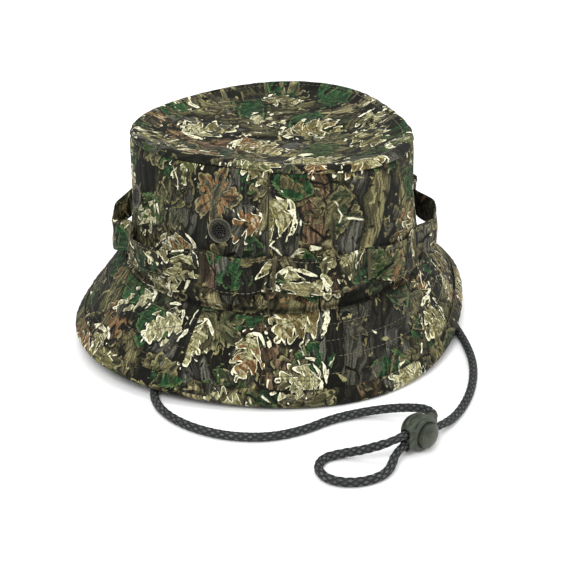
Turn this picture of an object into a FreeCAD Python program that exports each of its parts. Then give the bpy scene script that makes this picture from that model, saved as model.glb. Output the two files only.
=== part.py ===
import FreeCAD, Part
import math
import os
import re

import Sketcher

# A boonie hat resting on its brim, in millimetres. Z is up, the front of the hat is towards -Y and
# the wearer's ears are on the X axis. The origin is on the floor, under the middle of the crown.
# A bearing is an angle in degrees round the crown: 0 is the front, 90 is the ear on the +X side.

os.makedirs("parts", exist_ok=True)
doc = FreeCAD.newDocument("boonie_hat")

# ---------------------------------------------------------------- driving dimensions

DIMENSIONS = [
    # crown: a tapered oval wall of two panels under a flat oval top
    ("crown_base_x", 92.6, "outer half width of the crown at the brim seam, ear to ear"),
    ("crown_base_y", 94.0, "outer half length of the crown at the brim seam, front to back"),
    ("crown_top_x", 79.0, "outer half width of the crown's top"),
    ("crown_top_y", 87.5, "outer half length of the crown's top"),
    ("seam_height", 43.5, "height of the seam between crown and brim"),
    ("crown_height", 126.5, "height of the crown's top"),
    ("crown_cloth", 1.2, "thickness of the crown's cloth"),
    ("seam_tuck", 2.5, "how far the wall's raw edge is tucked below the brim seam"),
    ("panel_seam", -46.6, "bearing of the front seam between the two wall panels"),
    ("sewn_gap", 0.05, "room between cloths that are sewn flat together"),
    ("ply_gap", 0.1, "room between the brim's cloths and its interlining"),
    ("lining", 0.8, "thickness of the seam tapes"),
    ("tape_width", 12.0, "width of the seam tapes"),
    ("tape_room", 0.5, "room between the end of a tape and the next cloth"),
    ("sweatband_cloth", 1.0, "thickness of the sweatband"),
    ("sweatband_top", 75.0, "height of the sweatband's upper edge"),
    ("label_length", 52.0, "length of the blank woven label"),
    ("label_width", 26.0, "width of the blank woven label"),
    ("label_cloth", 0.6, "thickness of the blank woven label"),
    # brim: two cloths over an interlining, with a folded tape round the edge
    ("brim_radius", 127.0, "mean outer radius of the brim"),
    ("brim_flare", 5.6, "how much further the brim reaches at the sides than at the ends"),
    ("brim_flare_turn", 24.0, "bearing at which the brim reaches least"),
    ("brim_corner", 3.3, "height of the brim outline's four soft corners"),
    ("brim_corner_turn", -5.0, "bearing of the first soft corner"),
    ("edge_lift", 12.0, "how high the limp brim edge lifts off the floor near the ears"),
    ("edge_lift_turn", -25.0, "bearing at which the edge rests on the floor"),
    ("edge_land", 0.8, "how much of the binding's corner is pressed flat on the floor"),
    ("brim_cloth", 0.9, "thickness of each cloth of the brim"),
    ("interlining", 1.2, "thickness of the brim's interlining"),
    ("seam_room", 0.6, "room between the crown wall and the brim's inner edge"),
    ("seam_rise", 0.5, "how far above the seam the brim's upper cloth starts"),
    ("binding_width", 7.5, "width of the binding on each side of the brim"),
    ("binding_cloth", 1.2, "thickness of the binding"),
    # foliage band: one strip sewn down at ten places, bowed out between them
    ("band_bottom", 58.0, "height of the band's lower edge"),
    ("band_width", 20.0, "width of the band"),
    ("band_cloth", 1.2, "thickness of the band"),
    ("band_bow", 8.5, "how far the band stands off the crown between its stitches"),
    ("band_gap", 0.2, "room between the band and the crown where it is sewn down"),
    ("band_land", 2.5, "half width of the stretch of band sewn flat at each stitch"),
    ("band_shoulder", 0.3, "share of a loop's length over which it bows out"),
    ("stitch_a", -117.0, "bearing of the first bar of stitches"),
    ("stitch_b", -72.0, "bearing of the second bar of stitches"),
    ("stitch_c", -44.5, "bearing of the third bar of stitches"),
    ("stitch_d", -9.0, "bearing of the fourth bar of stitches"),
    ("stitch_e", 19.0, "bearing of the fifth bar; the others share what is left evenly"),
    ("bartack_width", 1.8, "width of a bar of stitches"),
    ("bartack_thread", 0.5, "thickness of a bar of stitches"),
    ("bartack_margin", 1.0, "distance from a bar's end to the edge of the band"),
    # vents: two pressed metal screens over each ear
    ("vent_height", 89.5, "height of the vents' centres"),
    ("vent_spread", 25.0, "bearing between a vent and the ear line"),
    ("vent_rim", 7.0, "outer radius of the vent's flange"),
    ("vent_barrel", 5.0, "outer radius of the vent's barrel"),
    ("vent_bore", 4.4, "radius of the vent's opening"),
    ("vent_flange", 0.9, "thickness of the flange"),
    ("vent_dish", 0.45, "depth of the dish in the flange"),
    ("washer_rim", 6.8, "outer radius of the washer behind the cloth"),
    ("washer_plate", 0.6, "thickness of the washer"),
    ("washer_room", 0.35, "room between the flat washer and the curved cloth"),
    ("screen_plate", 0.4, "thickness of the screen"),
    ("screen_hole", 0.5, "radius of a hole in the screen"),
    ("screen_pitch", 1.55, "distance between the rings of holes in the screen"),
    # chin cord
    ("cord_across", 5.0, "diameter of the cord"),
    ("anchor_wide", 12.0, "width of the tab that holds a cord's end"),
    ("anchor_deep", 5.6, "thickness of that tab"),
    ("anchor_tall", 14.0, "height of that tab"),
    ("anchor_low", 40.0, "height of the tab's lower face, where the cord comes out"),
    ("anchor_reach", 85.3, "distance of the tabs from the middle of the hat"),
    # cord lock: a sprung plunger in a round barrel, with the cord's two strands through both
    ("lock_x", -61.0, "place of the cord lock"),
    ("lock_y", -171.5, "place of the cord lock"),
    ("lock_z", 9.95, "height of the cord lock's centre"),
    ("strand_gap", 3.2, "height of each strand above or below the lock's centre"),
    ("channel", 2.9, "radius of the holes for the strands"),
    ("collar", 4.0, "outer radius of the collars round those holes"),
    ("collar_reach", 10.4, "distance of the collars' faces from the lock's centre"),
    ("barrel_radius", 9.6, "outer radius of the barrel"),
    ("barrel_back", 9.5, "distance of the closed end from the centre"),
    ("barrel_front", 5.0, "distance of the open end from the centre"),
    ("barrel_round", 5.2, "rounding of the closed end"),
    ("barrel_lip", 1.2, "rounding of the open end"),
    ("bore_radius", 7.2, "radius of the barrel's bore"),
    ("bore_depth", 6.3, "distance of the bore's floor from the centre"),
    ("pocket_radius", 4.2, "radius of the spring's pocket"),
    ("pocket_depth", 8.3, "distance of the pocket's floor from the centre"),
    ("plunger_radius", 6.9, "radius of the plunger"),
    ("plunger_back", 3.9, "distance of the plunger's inner end from the centre"),
    ("plunger_front", 10.8, "distance of the button's face from the centre"),
    ("button_radius", 8.2, "radius of the plunger's button"),
    ("button_gap", 2.3, "room between the button and the barrel, for the press"),
    ("button_round", 2.9, "rounding of the button"),
    ("press", 2.0, "travel of the plunger"),
    ("slot_height", 6.2, "half height of the plunger's slot"),
    ("slot_half", 2.8, "half width of the plunger's slot, without the travel"),
    ("spring_radius", 3.0, "mean radius of the spring"),
    ("spring_wire", 0.35, "radius of the spring's wire"),
    ("spring_pitch", 1.2, "rise of one turn of the spring"),
]

sheet = doc.addObject("Spreadsheet::Sheet", "Sizes")
for line, (alias, value, meaning) in enumerate(DIMENSIONS, start=1):
    sheet.set(f"A{line}", meaning)
    sheet.set(f"B{line}", str(value))
    sheet.setAlias(f"B{line}", alias)
doc.recompute()


def size(alias):
    return float(sheet.get(alias))


NODES = []
TOLERANCE = 0.01


def keep(piece, label):
    """Gives a finished sub-part its name and lists it for export."""
    piece.Label = label
    NODES.append(piece)
    return piece


# ---------------------------------------------------------------- document helpers


def bind(piece, **expressions):
    for name, expression in expressions.items():
        piece.setExpression(name, expression)


def boolean(kind, base, tool, label=None):
    result = doc.addObject(f"Part::{kind}", kind)
    result.Base = base
    result.Tool = tool
    return keep(result, label) if label else result


def fused(pieces):
    result = doc.addObject("Part::MultiFuse", "Fused")
    result.Shapes = pieces
    return result


def cylinder(radius, height, base, direction):
    """A cylinder with its size bound to the sheet, standing on base along direction."""
    piece = doc.addObject("Part::Cylinder", "Cylinder")
    bind(piece, Radius=radius, Height=height)
    turn = FreeCAD.Rotation(FreeCAD.Vector(0, 0, 1), direction)
    piece.Placement = FreeCAD.Placement(base, turn)
    return piece


def origin_plane(body, role):
    return next(item for item in body.Origin.OriginFeatures if item.Role == role)


def outline_sketch(body, role, corners):
    """A closed outline of straight lines, each corner held by two expressions from the sheet."""
    sketch = body.newObject("Sketcher::SketchObject", body.Name + "_outline")
    sketch.AttachmentSupport = (origin_plane(body, role), [""])
    sketch.MapMode = "FlatFace"
    places = [[evaluate(term) for term in corner] for corner in corners]
    points = [FreeCAD.Vector(x, y, 0) for x, y in places]
    count = len(points)
    for index in range(count):
        sketch.addGeometry(Part.LineSegment(points[index], points[(index + 1) % count]), False)
    for index in range(count):
        sketch.addConstraint(Sketcher.Constraint("Coincident", index, 2, (index + 1) % count, 1))
    for index, corner in enumerate(corners):
        for side, (direction, axis) in enumerate((("DistanceX", -2), ("DistanceY", -1))):
            term = corner[side]
            place = places[index][side]
            if term == "0":
                sketch.addConstraint(Sketcher.Constraint("PointOnObject", index, 1, axis))
                continue
            held = sketch.addConstraint(Sketcher.Constraint(direction, -1, 1, index, 1, place))
            sketch.setExpression(f"Constraints[{held}]", bound(term))
    return sketch


def bound(term):
    """Turns a term such as '-press + lock_x' into an expression on the sheet."""
    return re.sub("[a-z][a-z_]+", lambda word: "Sizes." + word.group(), term)


def evaluate(term):
    """The value of such a term now, for a sketch's first drawing."""
    total = 0.0
    sign = 1.0
    for word in term.split():
        if word in ("+", "-"):
            sign = 1.0 if word == "+" else -1.0
        else:
            factor = -1.0 if word.startswith("-") else 1.0
            name = word.lstrip("-")
            number = float(name) if name.replace(".", "").isdigit() else size(name)
            total += sign * factor * number
    return total


def revolved(name, corners):
    """A body turned round its own Z axis from an outline of (radius, height) corners."""
    body = doc.addObject("PartDesign::Body", name)
    sketch = outline_sketch(body, "XZ_Plane", corners)
    turned = body.newObject("PartDesign::Revolution", name + "_turned")
    turned.Profile = sketch
    turned.ReferenceAxis = (sketch, ["V_Axis"])
    turned.Angle = 360
    doc.recompute()
    return body


def rounded(body, radius, chosen):
    """Rounds the round edges of a body whose (radius, height) pass the test."""
    tip = body.Tip
    names = []
    for index, edge in enumerate(tip.Shape.Edges, start=1):
        if not hasattr(edge.Curve, "Radius"):
            continue
        if chosen(edge.Curve.Radius, edge.Curve.Center.z):
            names.append(f"Edge{index}")
    fillet = body.newObject("PartDesign::Fillet", body.Name + "_round")
    fillet.Base = (tip, names)
    fillet.setExpression("Radius", bound(radius))
    doc.recompute()
    return body


# ---------------------------------------------------------------- crown


def wall_half(axis, height, inset):
    """The crown wall's half axis at a height, as an expression, moved inwards by inset."""
    rise = f"(({height}) - Sizes.seam_height) / (Sizes.crown_height - Sizes.seam_height)"
    base = f"Sizes.crown_base_{axis}"
    return f"{base} + (Sizes.crown_top_{axis} - {base}) * {rise} - ({inset})"


def wall_loft(low, high, inset):
    """The solid inside the wall's surface between two heights, moved inwards by inset."""
    rings = []
    for height in (low, high):
        ring = doc.addObject("Part::Ellipse", "Ring")
        bind(ring, MajorRadius=wall_half("y", height, inset))
        bind(ring, MinorRadius=wall_half("x", height, inset))
        ring.Placement.Rotation = FreeCAD.Rotation(FreeCAD.Vector(0, 0, 1), 90)
        bind(ring, **{"Placement.Base.z": height})
        rings.append(ring)
    loft = doc.addObject("Part::Loft", "Loft")
    loft.Sections = rings
    loft.Solid = True
    loft.Ruled = True
    return loft


def wall_shell(low, high, inset, cloth):
    """An oval shell that follows the crown wall: its outside is inset from the wall's outside."""
    outside = wall_loft(low, high, inset)
    inside = wall_loft(f"{low} - {cloth}", f"{high} + {cloth}", f"{inset} + {cloth}")
    return boolean("Cut", outside, inside)


def half_space(bearing, side):
    """A block that holds the half of the crown to one side of a bearing."""
    reach = 2 * size("crown_base_y")
    block = doc.addObject("Part::Box", "Half")
    bind(block, Length="2 * Sizes.crown_base_y", Width="4 * Sizes.crown_base_y")
    bind(block, Height="2 * Sizes.crown_height")
    turn = FreeCAD.Rotation(FreeCAD.Vector(0, 0, 1), bearing + (0 if side > 0 else 180))
    block.Placement = FreeCAD.Placement(turn.multVec(FreeCAD.Vector(0, -reach, 0)), turn)
    return block


def wall_halves(height):
    """The crown wall's half axes at a height, ear to ear and front to back."""
    rise = (height - size("seam_height")) / (size("crown_height") - size("seam_height"))
    half_x = size("crown_base_x") + (size("crown_top_x") - size("crown_base_x")) * rise
    half_y = size("crown_base_y") + (size("crown_top_y") - size("crown_base_y")) * rise
    return half_x, half_y


def wall_radius(bearing, height):
    """Distance of the crown wall from the middle of the hat at a bearing and a height."""
    angle = math.radians(bearing)
    half_x, half_y = wall_halves(height)
    return 1 / math.hypot(math.sin(angle) / half_x, math.cos(angle) / half_y)


def wall_frame(bearing, height):
    """The placement on the wall's outer surface whose Z axis points straight out of the cloth."""
    half_x, half_y = wall_halves(height)
    place = polar(bearing, wall_radius(bearing, height), height)
    out = FreeCAD.Vector(place.x / half_x**2, place.y / half_y**2, 0).normalize()
    out.z = wall_radius(bearing, height) - wall_radius(bearing, height + 1)
    out.normalize()
    return FreeCAD.Placement(place, FreeCAD.Rotation(FreeCAD.Vector(0, 0, 1), out))


VENT_BEARINGS = {
    "left_front": -90 + size("vent_spread"),
    "left_back": -90 - size("vent_spread"),
    "right_front": 90 - size("vent_spread"),
    "right_back": 90 + size("vent_spread"),
}


def make_crown():
    wall_low = "Sizes.seam_height - Sizes.seam_tuck"
    wall_high = "Sizes.crown_height - Sizes.crown_cloth"
    wall = wall_shell(wall_low, wall_high, "0", "Sizes.crown_cloth")
    holes = []
    for bearing in VENT_BEARINGS.values():
        frame = wall_frame(bearing, size("vent_height"))
        inward = frame.Rotation.multVec(FreeCAD.Vector(0, 0, -1))
        start = frame.Base - inward * size("vent_barrel")
        radius = "Sizes.vent_barrel + Sizes.sewn_gap"
        holes.append(cylinder(radius, "Sizes.vent_barrel * 2", start, inward))
    punched = boolean("Cut", wall, fused(holes))
    boolean("Common", punched, half_space(size("panel_seam"), -1), "crown_side_left")
    boolean("Common", punched, half_space(size("panel_seam"), 1), "crown_side_right")
    keep(wall_loft(wall_high, "Sizes.crown_height", "0"), "crown_top")


def make_lining():
    """The tapes that cover the crown's seams inside, the sweatband and a blank label."""
    inset = "Sizes.crown_cloth + Sizes.sewn_gap"
    under_top = "Sizes.crown_height - Sizes.crown_cloth - Sizes.sewn_gap"
    tape_low = f"{under_top} - Sizes.tape_width"
    keep(wall_shell(tape_low, under_top, inset, "Sizes.lining"), "top_seam_tape")
    strip_low = "Sizes.sweatband_top + Sizes.tape_room"
    strip = wall_shell(strip_low, f"{tape_low} - Sizes.tape_room", inset, "Sizes.lining")
    for label, turn in (("side_seam_tape_front", 0), ("side_seam_tape_back", 180)):
        block = doc.addObject("Part::Box", "Strip")
        bind(block, Length="Sizes.tape_width", Width="Sizes.crown_base_y", Height="Sizes.crown_height")
        spin = FreeCAD.Rotation(FreeCAD.Vector(0, 0, 1), size("panel_seam") + turn)
        corner = FreeCAD.Vector(-size("tape_width") / 2, -size("crown_base_y"), 0)
        block.Placement = FreeCAD.Placement(spin.multVec(corner), spin)
        boolean("Common", strip, block, label)
    band_low = "Sizes.seam_height - Sizes.seam_tuck"
    band = wall_shell(band_low, "Sizes.sweatband_top", inset, "Sizes.sweatband_cloth")
    keep(band, "sweatband")
    label = doc.addObject("Part::Box", "Label")
    bind(label, Length="Sizes.label_length", Width="Sizes.label_width", Height="Sizes.label_cloth")
    under = size("crown_height") - size("crown_cloth") - size("sewn_gap") - size("label_cloth")
    label.Placement.Base = FreeCAD.Vector(-size("label_length") / 2, -size("label_width") / 2, under)
    keep(label, "woven_label")


# ---------------------------------------------------------------- brim

# How many points each curve that runs round the brim goes through.
AROUND = 72


def ring_curve(point_at):
    """A smooth closed curve through the points that point_at gives for bearings right round."""
    curve = Part.BSplineCurve()
    places = [point_at(360.0 * step / AROUND) for step in range(AROUND)]
    curve.interpolate(Points=places, PeriodicFlag=True)
    return curve.toShape()


def ring_solid(corners):
    """A closed ring whose section has these corners, each a function of the bearing."""
    curves = [ring_curve(corner) for corner in corners]
    faces = []
    for index, curve in enumerate(curves):
        faces.append(Part.makeRuledSurface(curve, curves[(index + 1) % len(curves)]))
    return closed_solid(faces)


def closed_solid(faces):
    shell = Part.makeShell(faces)
    shell.sewShape()
    solid = Part.makeSolid(shell)
    if solid.Volume < 0:
        solid.reverse()
    return solid


def polar(bearing, radius, height):
    angle = math.radians(bearing)
    return FreeCAD.Vector(radius * math.sin(angle), -radius * math.cos(angle), height)


def brim_reach(bearing):
    """Outer radius of the brim at a bearing."""
    flare = size("brim_flare") * math.cos(2 * math.radians(bearing - size("brim_flare_turn")))
    corner = size("brim_corner") * math.cos(4 * math.radians(bearing - size("brim_corner_turn")))
    return size("brim_radius") - flare + corner


def edge_height(bearing):
    """Height of the binding's lowest edge at a bearing."""
    return size("edge_lift") * math.sin(math.radians(bearing - size("edge_lift_turn"))) ** 2


def brim_section(bearing):
    """The brim's upper surface at a bearing: inner end, outer end, slope and normal, as (r, z)."""
    cloth = 2 * size("brim_cloth") + size("interlining")
    tape = size("binding_cloth")
    inner_r = wall_radius(bearing, size("seam_height")) + size("seam_room")
    inner = (inner_r, size("seam_height") + size("seam_rise"))
    run = brim_reach(bearing) - inner[0]
    fall = inner[1] - edge_height(bearing) - cloth
    length = math.hypot(run, fall)
    slope = (run / length, -fall / length)
    normal = (slope[1], -slope[0])
    outer_r = brim_reach(bearing) - (slope[0] - normal[0]) * tape
    outer_z = edge_height(bearing) - size("edge_land") - slope[1] * tape - normal[1] * (cloth + tape)
    return inner, (outer_r, outer_z), slope, normal


def brim_inner(depth):
    """The inner corner of a brim cloth whose face lies this deep under the upper surface."""

    def point(bearing):
        inner, _, _, normal = brim_section(bearing)
        return polar(bearing, inner[0], inner[1] + depth / normal[1])

    return point


def brim_outer(depth, along=0.0):
    """The corner at the brim's edge, this deep and this far beyond the cloth's end."""

    def point(bearing):
        _, outer, slope, normal = brim_section(bearing)
        radius = outer[0] + slope[0] * along + normal[0] * depth
        return polar(bearing, radius, outer[1] + slope[1] * along + normal[1] * depth)

    return point


def feature(label, shape):
    piece = doc.addObject("Part::Feature", label)
    piece.Shape = shape
    piece.Placement = FreeCAD.Placement()
    return keep(piece, label)


def make_brim():
    levels = [0.0, size("brim_cloth"), size("brim_cloth") + size("interlining")]
    levels.append(levels[-1] + size("brim_cloth"))
    for index, label in enumerate(("brim_upper", "brim_interlining", "brim_lower")):
        top = levels[index]
        bottom = levels[index + 1] - size("ply_gap")
        corners = [brim_inner(top), brim_outer(top), brim_outer(bottom), brim_inner(bottom)]
        feature(label, ring_solid(corners))
    tape = size("binding_cloth")
    width = size("binding_width")
    gap = size("sewn_gap")
    deep = levels[-1]
    corners = [
        brim_outer(-tape, -width),
        brim_outer(-tape, tape),
        brim_outer(deep + tape, tape),
        brim_outer(deep + tape, -width),
        brim_outer(deep + gap, -width),
        brim_outer(deep + gap, gap),
        brim_outer(-gap, gap),
        brim_outer(-gap, -width),
    ]
    folded = doc.addObject("Part::Feature", "Folded_tape")
    folded.Shape = ring_solid(corners)
    floor = doc.addObject("Part::Box", "Floor")
    bind(floor, Length="4 * Sizes.brim_radius", Width="4 * Sizes.brim_radius", Height="Sizes.seam_height")
    half = 2 * size("brim_radius")
    floor.Placement.Base = FreeCAD.Vector(-half, -half, -size("seam_height"))
    boolean("Cut", folded, floor, "brim_binding")


# ---------------------------------------------------------------- foliage band


EVEN_LOOPS = 6
LOOP_STEPS = 24


def stitch_bearings():
    """Bearings of the ten bars of stitches, and the first again a full turn on."""
    bearings = [size("stitch_" + letter) for letter in "abcde"]
    last = bearings[-1]
    left = 360 + bearings[0] - last
    return bearings + [last + left * share / EVEN_LOOPS for share in range(1, EVEN_LOOPS + 1)]


def ease(share):
    share = min(max(share, 0.0), 1.0)
    return share * share * (3 - 2 * share)


def band_radius(bearing, start, end, height, layer):
    """Radius of the band between two stitches, at a height and this far into its cloth."""
    wall = wall_radius(bearing, height)
    middle = wall_radius(bearing, size("band_bottom") + size("band_width") / 2)
    land = math.degrees(size("band_land") / middle)
    shoulder = size("band_shoulder") * (end - start)
    bow = ease((bearing - start - land) / shoulder) * ease((end - land - bearing) / shoulder)
    return wall + (middle - wall + size("band_bow")) * bow + size("band_gap") + layer


def band_loop(start, end):
    """One loop of the band, from one bar of stitches to the next."""
    low = size("band_bottom")
    high = low + size("band_width")
    cloth = size("band_cloth")
    bearings = [start + (end - start) * step / LOOP_STEPS for step in range(LOOP_STEPS + 1)]
    rails = []
    for height, layer in ((low, 0.0), (high, 0.0), (high, cloth), (low, cloth)):
        radii = [band_radius(bearing, start, end, height, layer) for bearing in bearings]
        curve = Part.BSplineCurve()
        curve.interpolate([polar(bearing, radius, height) for bearing, radius in zip(bearings, radii)])
        rails.append(curve.toShape())
    faces = [Part.makeRuledSurface(rails[index], rails[(index + 1) % 4]) for index in range(4)]
    for end_index in (0, -1):
        corners = [rail.Vertexes[end_index].Point for rail in rails]
        faces.append(Part.Face(Part.makePolygon(corners + corners[:1])))
    return closed_solid(faces)


def make_band():
    bearings = stitch_bearings()
    for index in range(len(bearings) - 1):
        feature(f"foliage_loop_{index + 1:02d}", band_loop(bearings[index], bearings[index + 1]))
    bars = []
    height = size("band_bottom") + size("band_width") / 2
    for bearing in bearings[:-1]:
        bar = doc.addObject("Part::Box", "Bar")
        bind(bar, Length="Sizes.bartack_width", Height="Sizes.bartack_thread")
        bind(bar, Width="Sizes.band_width - 2 * Sizes.bartack_margin")
        frame = wall_frame(bearing, height)
        tall = frame.Rotation.inverted().multVec(FreeCAD.Vector(0, 0, 1))
        spin = FreeCAD.Rotation(FreeCAD.Vector(0, 0, 1), math.degrees(math.atan2(-tall.x, tall.y)))
        lift = size("band_gap") + size("band_cloth") + 2 * size("sewn_gap")
        low = size("bartack_margin") - size("band_width") / 2
        corner = FreeCAD.Vector(-size("bartack_width") / 2, low, lift)
        local = FreeCAD.Placement(spin.multVec(corner), spin)
        bar.Placement = frame.multiply(local)
        bars.append(bar)
    group = doc.addObject("Part::Compound", "Bars")
    group.Links = bars
    keep(group, "loop_bartacks")


# ---------------------------------------------------------------- vents


# How many holes each ring of the screen has, from the middle outwards.
SCREEN_HOLES = (1, 6, 12)


def vent_screen(name):
    """A round plate with a hole in its middle and two rings of holes."""
    body = doc.addObject("PartDesign::Body", name)
    sketch = body.newObject("Sketcher::SketchObject", name + "_disc")
    sketch.AttachmentSupport = (origin_plane(body, "XY_Plane"), [""])
    sketch.MapMode = "FlatFace"
    middle = FreeCAD.Vector(0, 0, 0)
    normal = FreeCAD.Vector(0, 0, 1)
    sketch.addGeometry(Part.Circle(middle, normal, size("vent_bore")), False)
    sketch.addConstraint(Sketcher.Constraint("Coincident", 0, 3, -1, 1))
    held = sketch.addConstraint(Sketcher.Constraint("Radius", 0, size("vent_bore")))
    sketch.setExpression(f"Constraints[{held}]", "Sizes.vent_bore - Sizes.sewn_gap")
    plate = body.newObject("PartDesign::Pad", name + "_plate")
    plate.Profile = sketch
    plate.setExpression("Length", "Sizes.screen_plate")
    doc.recompute()
    for ring, count in enumerate(SCREEN_HOLES):
        hole = body.newObject("Sketcher::SketchObject", f"{name}_hole_{ring}")
        hole.AttachmentSupport = (origin_plane(body, "XY_Plane"), [""])
        hole.MapMode = "FlatFace"
        place = FreeCAD.Vector(ring * size("screen_pitch"), 0, 0)
        hole.addGeometry(Part.Circle(place, normal, size("screen_hole")), False)
        held = hole.addConstraint(Sketcher.Constraint("Radius", 0, size("screen_hole")))
        hole.setExpression(f"Constraints[{held}]", "Sizes.screen_hole")
        if ring == 0:
            hole.addConstraint(Sketcher.Constraint("Coincident", 0, 3, -1, 1))
        else:
            hole.addConstraint(Sketcher.Constraint("PointOnObject", 0, 3, -1))
            held = hole.addConstraint(Sketcher.Constraint("DistanceX", -1, 1, 0, 3, place.x))
            hole.setExpression(f"Constraints[{held}]", f"Sizes.screen_pitch * {ring}")
        pocket = body.newObject("PartDesign::Pocket", f"{name}_pocket_{ring}")
        pocket.Profile = hole
        pocket.Type = "ThroughAll"
        pocket.Reversed = True
        doc.recompute()
        if count > 1:
            pattern = body.newObject("PartDesign::PolarPattern", f"{name}_ring_{ring}")
            pattern.Originals = [pocket]
            pattern.Axis = (hole, ["N_Axis"])
            pattern.Angle = 360
            pattern.Occurrences = count
            body.Tip = pattern
            doc.recompute()
    return body


def make_vents():
    for where, bearing in VENT_BEARINGS.items():
        frame = wall_frame(bearing, size("vent_height"))
        behind = "-crown_cloth - washer_room - washer_plate"
        eyelet = revolved(
            f"vent_{where}_eyelet",
            [
                ("vent_bore", behind),
                ("vent_barrel", behind),
                ("vent_barrel", "sewn_gap"),
                ("vent_rim", "sewn_gap"),
                ("vent_rim", "vent_flange"),
                ("vent_rim - vent_dish", "vent_flange + sewn_gap"),
                ("vent_barrel + vent_dish", "vent_dish"),
                ("vent_bore + vent_dish", "vent_dish"),
                ("vent_bore", "vent_flange"),
            ],
        )
        washer = revolved(
            f"vent_{where}_washer",
            [
                ("vent_barrel + sewn_gap", "-crown_cloth - washer_room"),
                ("washer_rim", "-crown_cloth - washer_room"),
                ("washer_rim", behind),
                ("vent_barrel + sewn_gap", behind),
            ],
        )
        screen = vent_screen(f"vent_{where}_screen")
        for piece in (eyelet, washer, screen):
            piece.Placement = frame
            keep(piece, piece.Name)


# ---------------------------------------------------------------- chin cord

# The cord's route, tab to tab. It drops from the tab at the left ear, passes under the brim's
# edge, lies in a wide curve in front of the hat, runs through the cord lock, turns back in a
# loop, runs through the lock again and goes back under the brim to the tab at the right ear.
LOCK = FreeCAD.Vector(size("lock_x"), size("lock_y"), size("lock_z"))
UPPER = LOCK.z + size("strand_gap")
LOWER = LOCK.z - size("strand_gap")
LAID = size("cord_across") / 2
TAB = size("anchor_reach")
OUTLET = size("anchor_low")

ROUTE = [
    (-TAB, 0, OUTLET),
    (-TAB, 0, 24),
    (-87.5, -7, 9),
    (-98, -15, LAID + 0.4),
    (-112, -21, LAID),
    (-125.5, -29, LAID),
    (-134, -43, LAID),
    (-137, -59, LAID),
    (-135, -77, LAID),
    (-127.5, -95, LAID),
    (-113, -111, LAID),
    (-94.5, -119, LAID),
    (-76, -121.5, LAID),
    (-61, -128.5, LAID + 0.7),
    (-51, -139, 6),
    (-45.5, -151, 9.6),
    (-43.5, -162.5, 12.6),
    (LOCK.x + 14, LOCK.y, UPPER),
    (LOCK.x, LOCK.y + 0.2, UPPER),
    (LOCK.x - 20, LOCK.y, UPPER - 0.1),
    (-90.5, -160, 6.8),
    (-97, -149.5, LAID + 0.3),
    (-107, -145, LAID),
    (-116.5, -149.5, LAID),
    (-120, -159.5, LAID),
    (-115.5, -169.5, LAID),
    (-105.5, -176.5, LAID),
    (-92.5, -178.5, LAID + 0.2),
    (LOCK.x - 19, LOCK.y - 0.1, LOWER - 0.1),
    (LOCK.x, LOCK.y + 0.1, LOWER),
    (LOCK.x + 16, LOCK.y - 0.2, LOWER - 0.2),
    (-31, -169.5, LAID + 0.8),
    (-16, -165, LAID),
    (0, -158, LAID),
    (17, -147.5, LAID),
    (32.5, -134.5, LAID),
    (46, -119, LAID),
    (58, -102, LAID),
    (70, -84, LAID),
    (79, -64, LAID),
    (84.5, -43, LAID),
    (86.5, -22, LAID + 0.3),
    (86.5, -7, 9.5),
    (TAB, 0, 24),
    (TAB, 0, OUTLET),
]
SHARE_OF_RUN = 0.45


def cord_path(points):
    """Straight runs joined by tangent arcs, each arc as large as its two runs allow."""
    edges = []
    radii = []
    begin = points[0]
    for index in range(1, len(points) - 1):
        corner = points[index]
        back = points[index - 1] - corner
        ahead = points[index + 1] - corner
        turn = math.pi - back.getAngle(ahead)
        reach = SHARE_OF_RUN * min(back.Length, ahead.Length)
        radius = reach / math.tan(turn / 2)
        enter = corner + back.normalize() * reach
        leave = corner + ahead.normalize() * reach
        inside = (back + ahead).normalize()
        sag = radius / math.cos(turn / 2) - radius
        edges.append(Part.LineSegment(begin, enter).toShape())
        edges.append(Part.Arc(enter, corner + inside * sag, leave).toShape())
        radii.append(radius)
        begin = leave
    edges.append(Part.LineSegment(begin, points[-1]).toShape())
    return Part.Wire(edges), radii


def make_cord():
    points = [FreeCAD.Vector(*place) for place in ROUTE]
    path, radii = cord_path(points)
    start = (points[1] - points[0]).normalize()
    section = Part.Wire([Part.makeCircle(size("cord_across") / 2, points[0], start)])
    tube = path.makePipeShell([section], True, False)
    area = math.pi * (size("cord_across") / 2) ** 2
    print("cord arc radii:", [round(radius, 1) for radius in radii])
    print("cord length:", round(path.Length, 1))
    print("volume against section times length:", round(tube.Volume / (area * path.Length), 4))
    feature("chin_cord", tube)
    for label, side in (("cord_anchor_left", -1), ("cord_anchor_right", 1)):
        tab = doc.addObject("Part::Box", "Tab")
        bind(tab, Length="Sizes.anchor_deep", Width="Sizes.anchor_wide", Height="Sizes.anchor_tall")
        corner = FreeCAD.Vector(side * TAB - size("anchor_deep") / 2, -size("anchor_wide") / 2, OUTLET)
        tab.Placement.Base = corner
        keep(tab, label)


# ---------------------------------------------------------------- cord lock


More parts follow.
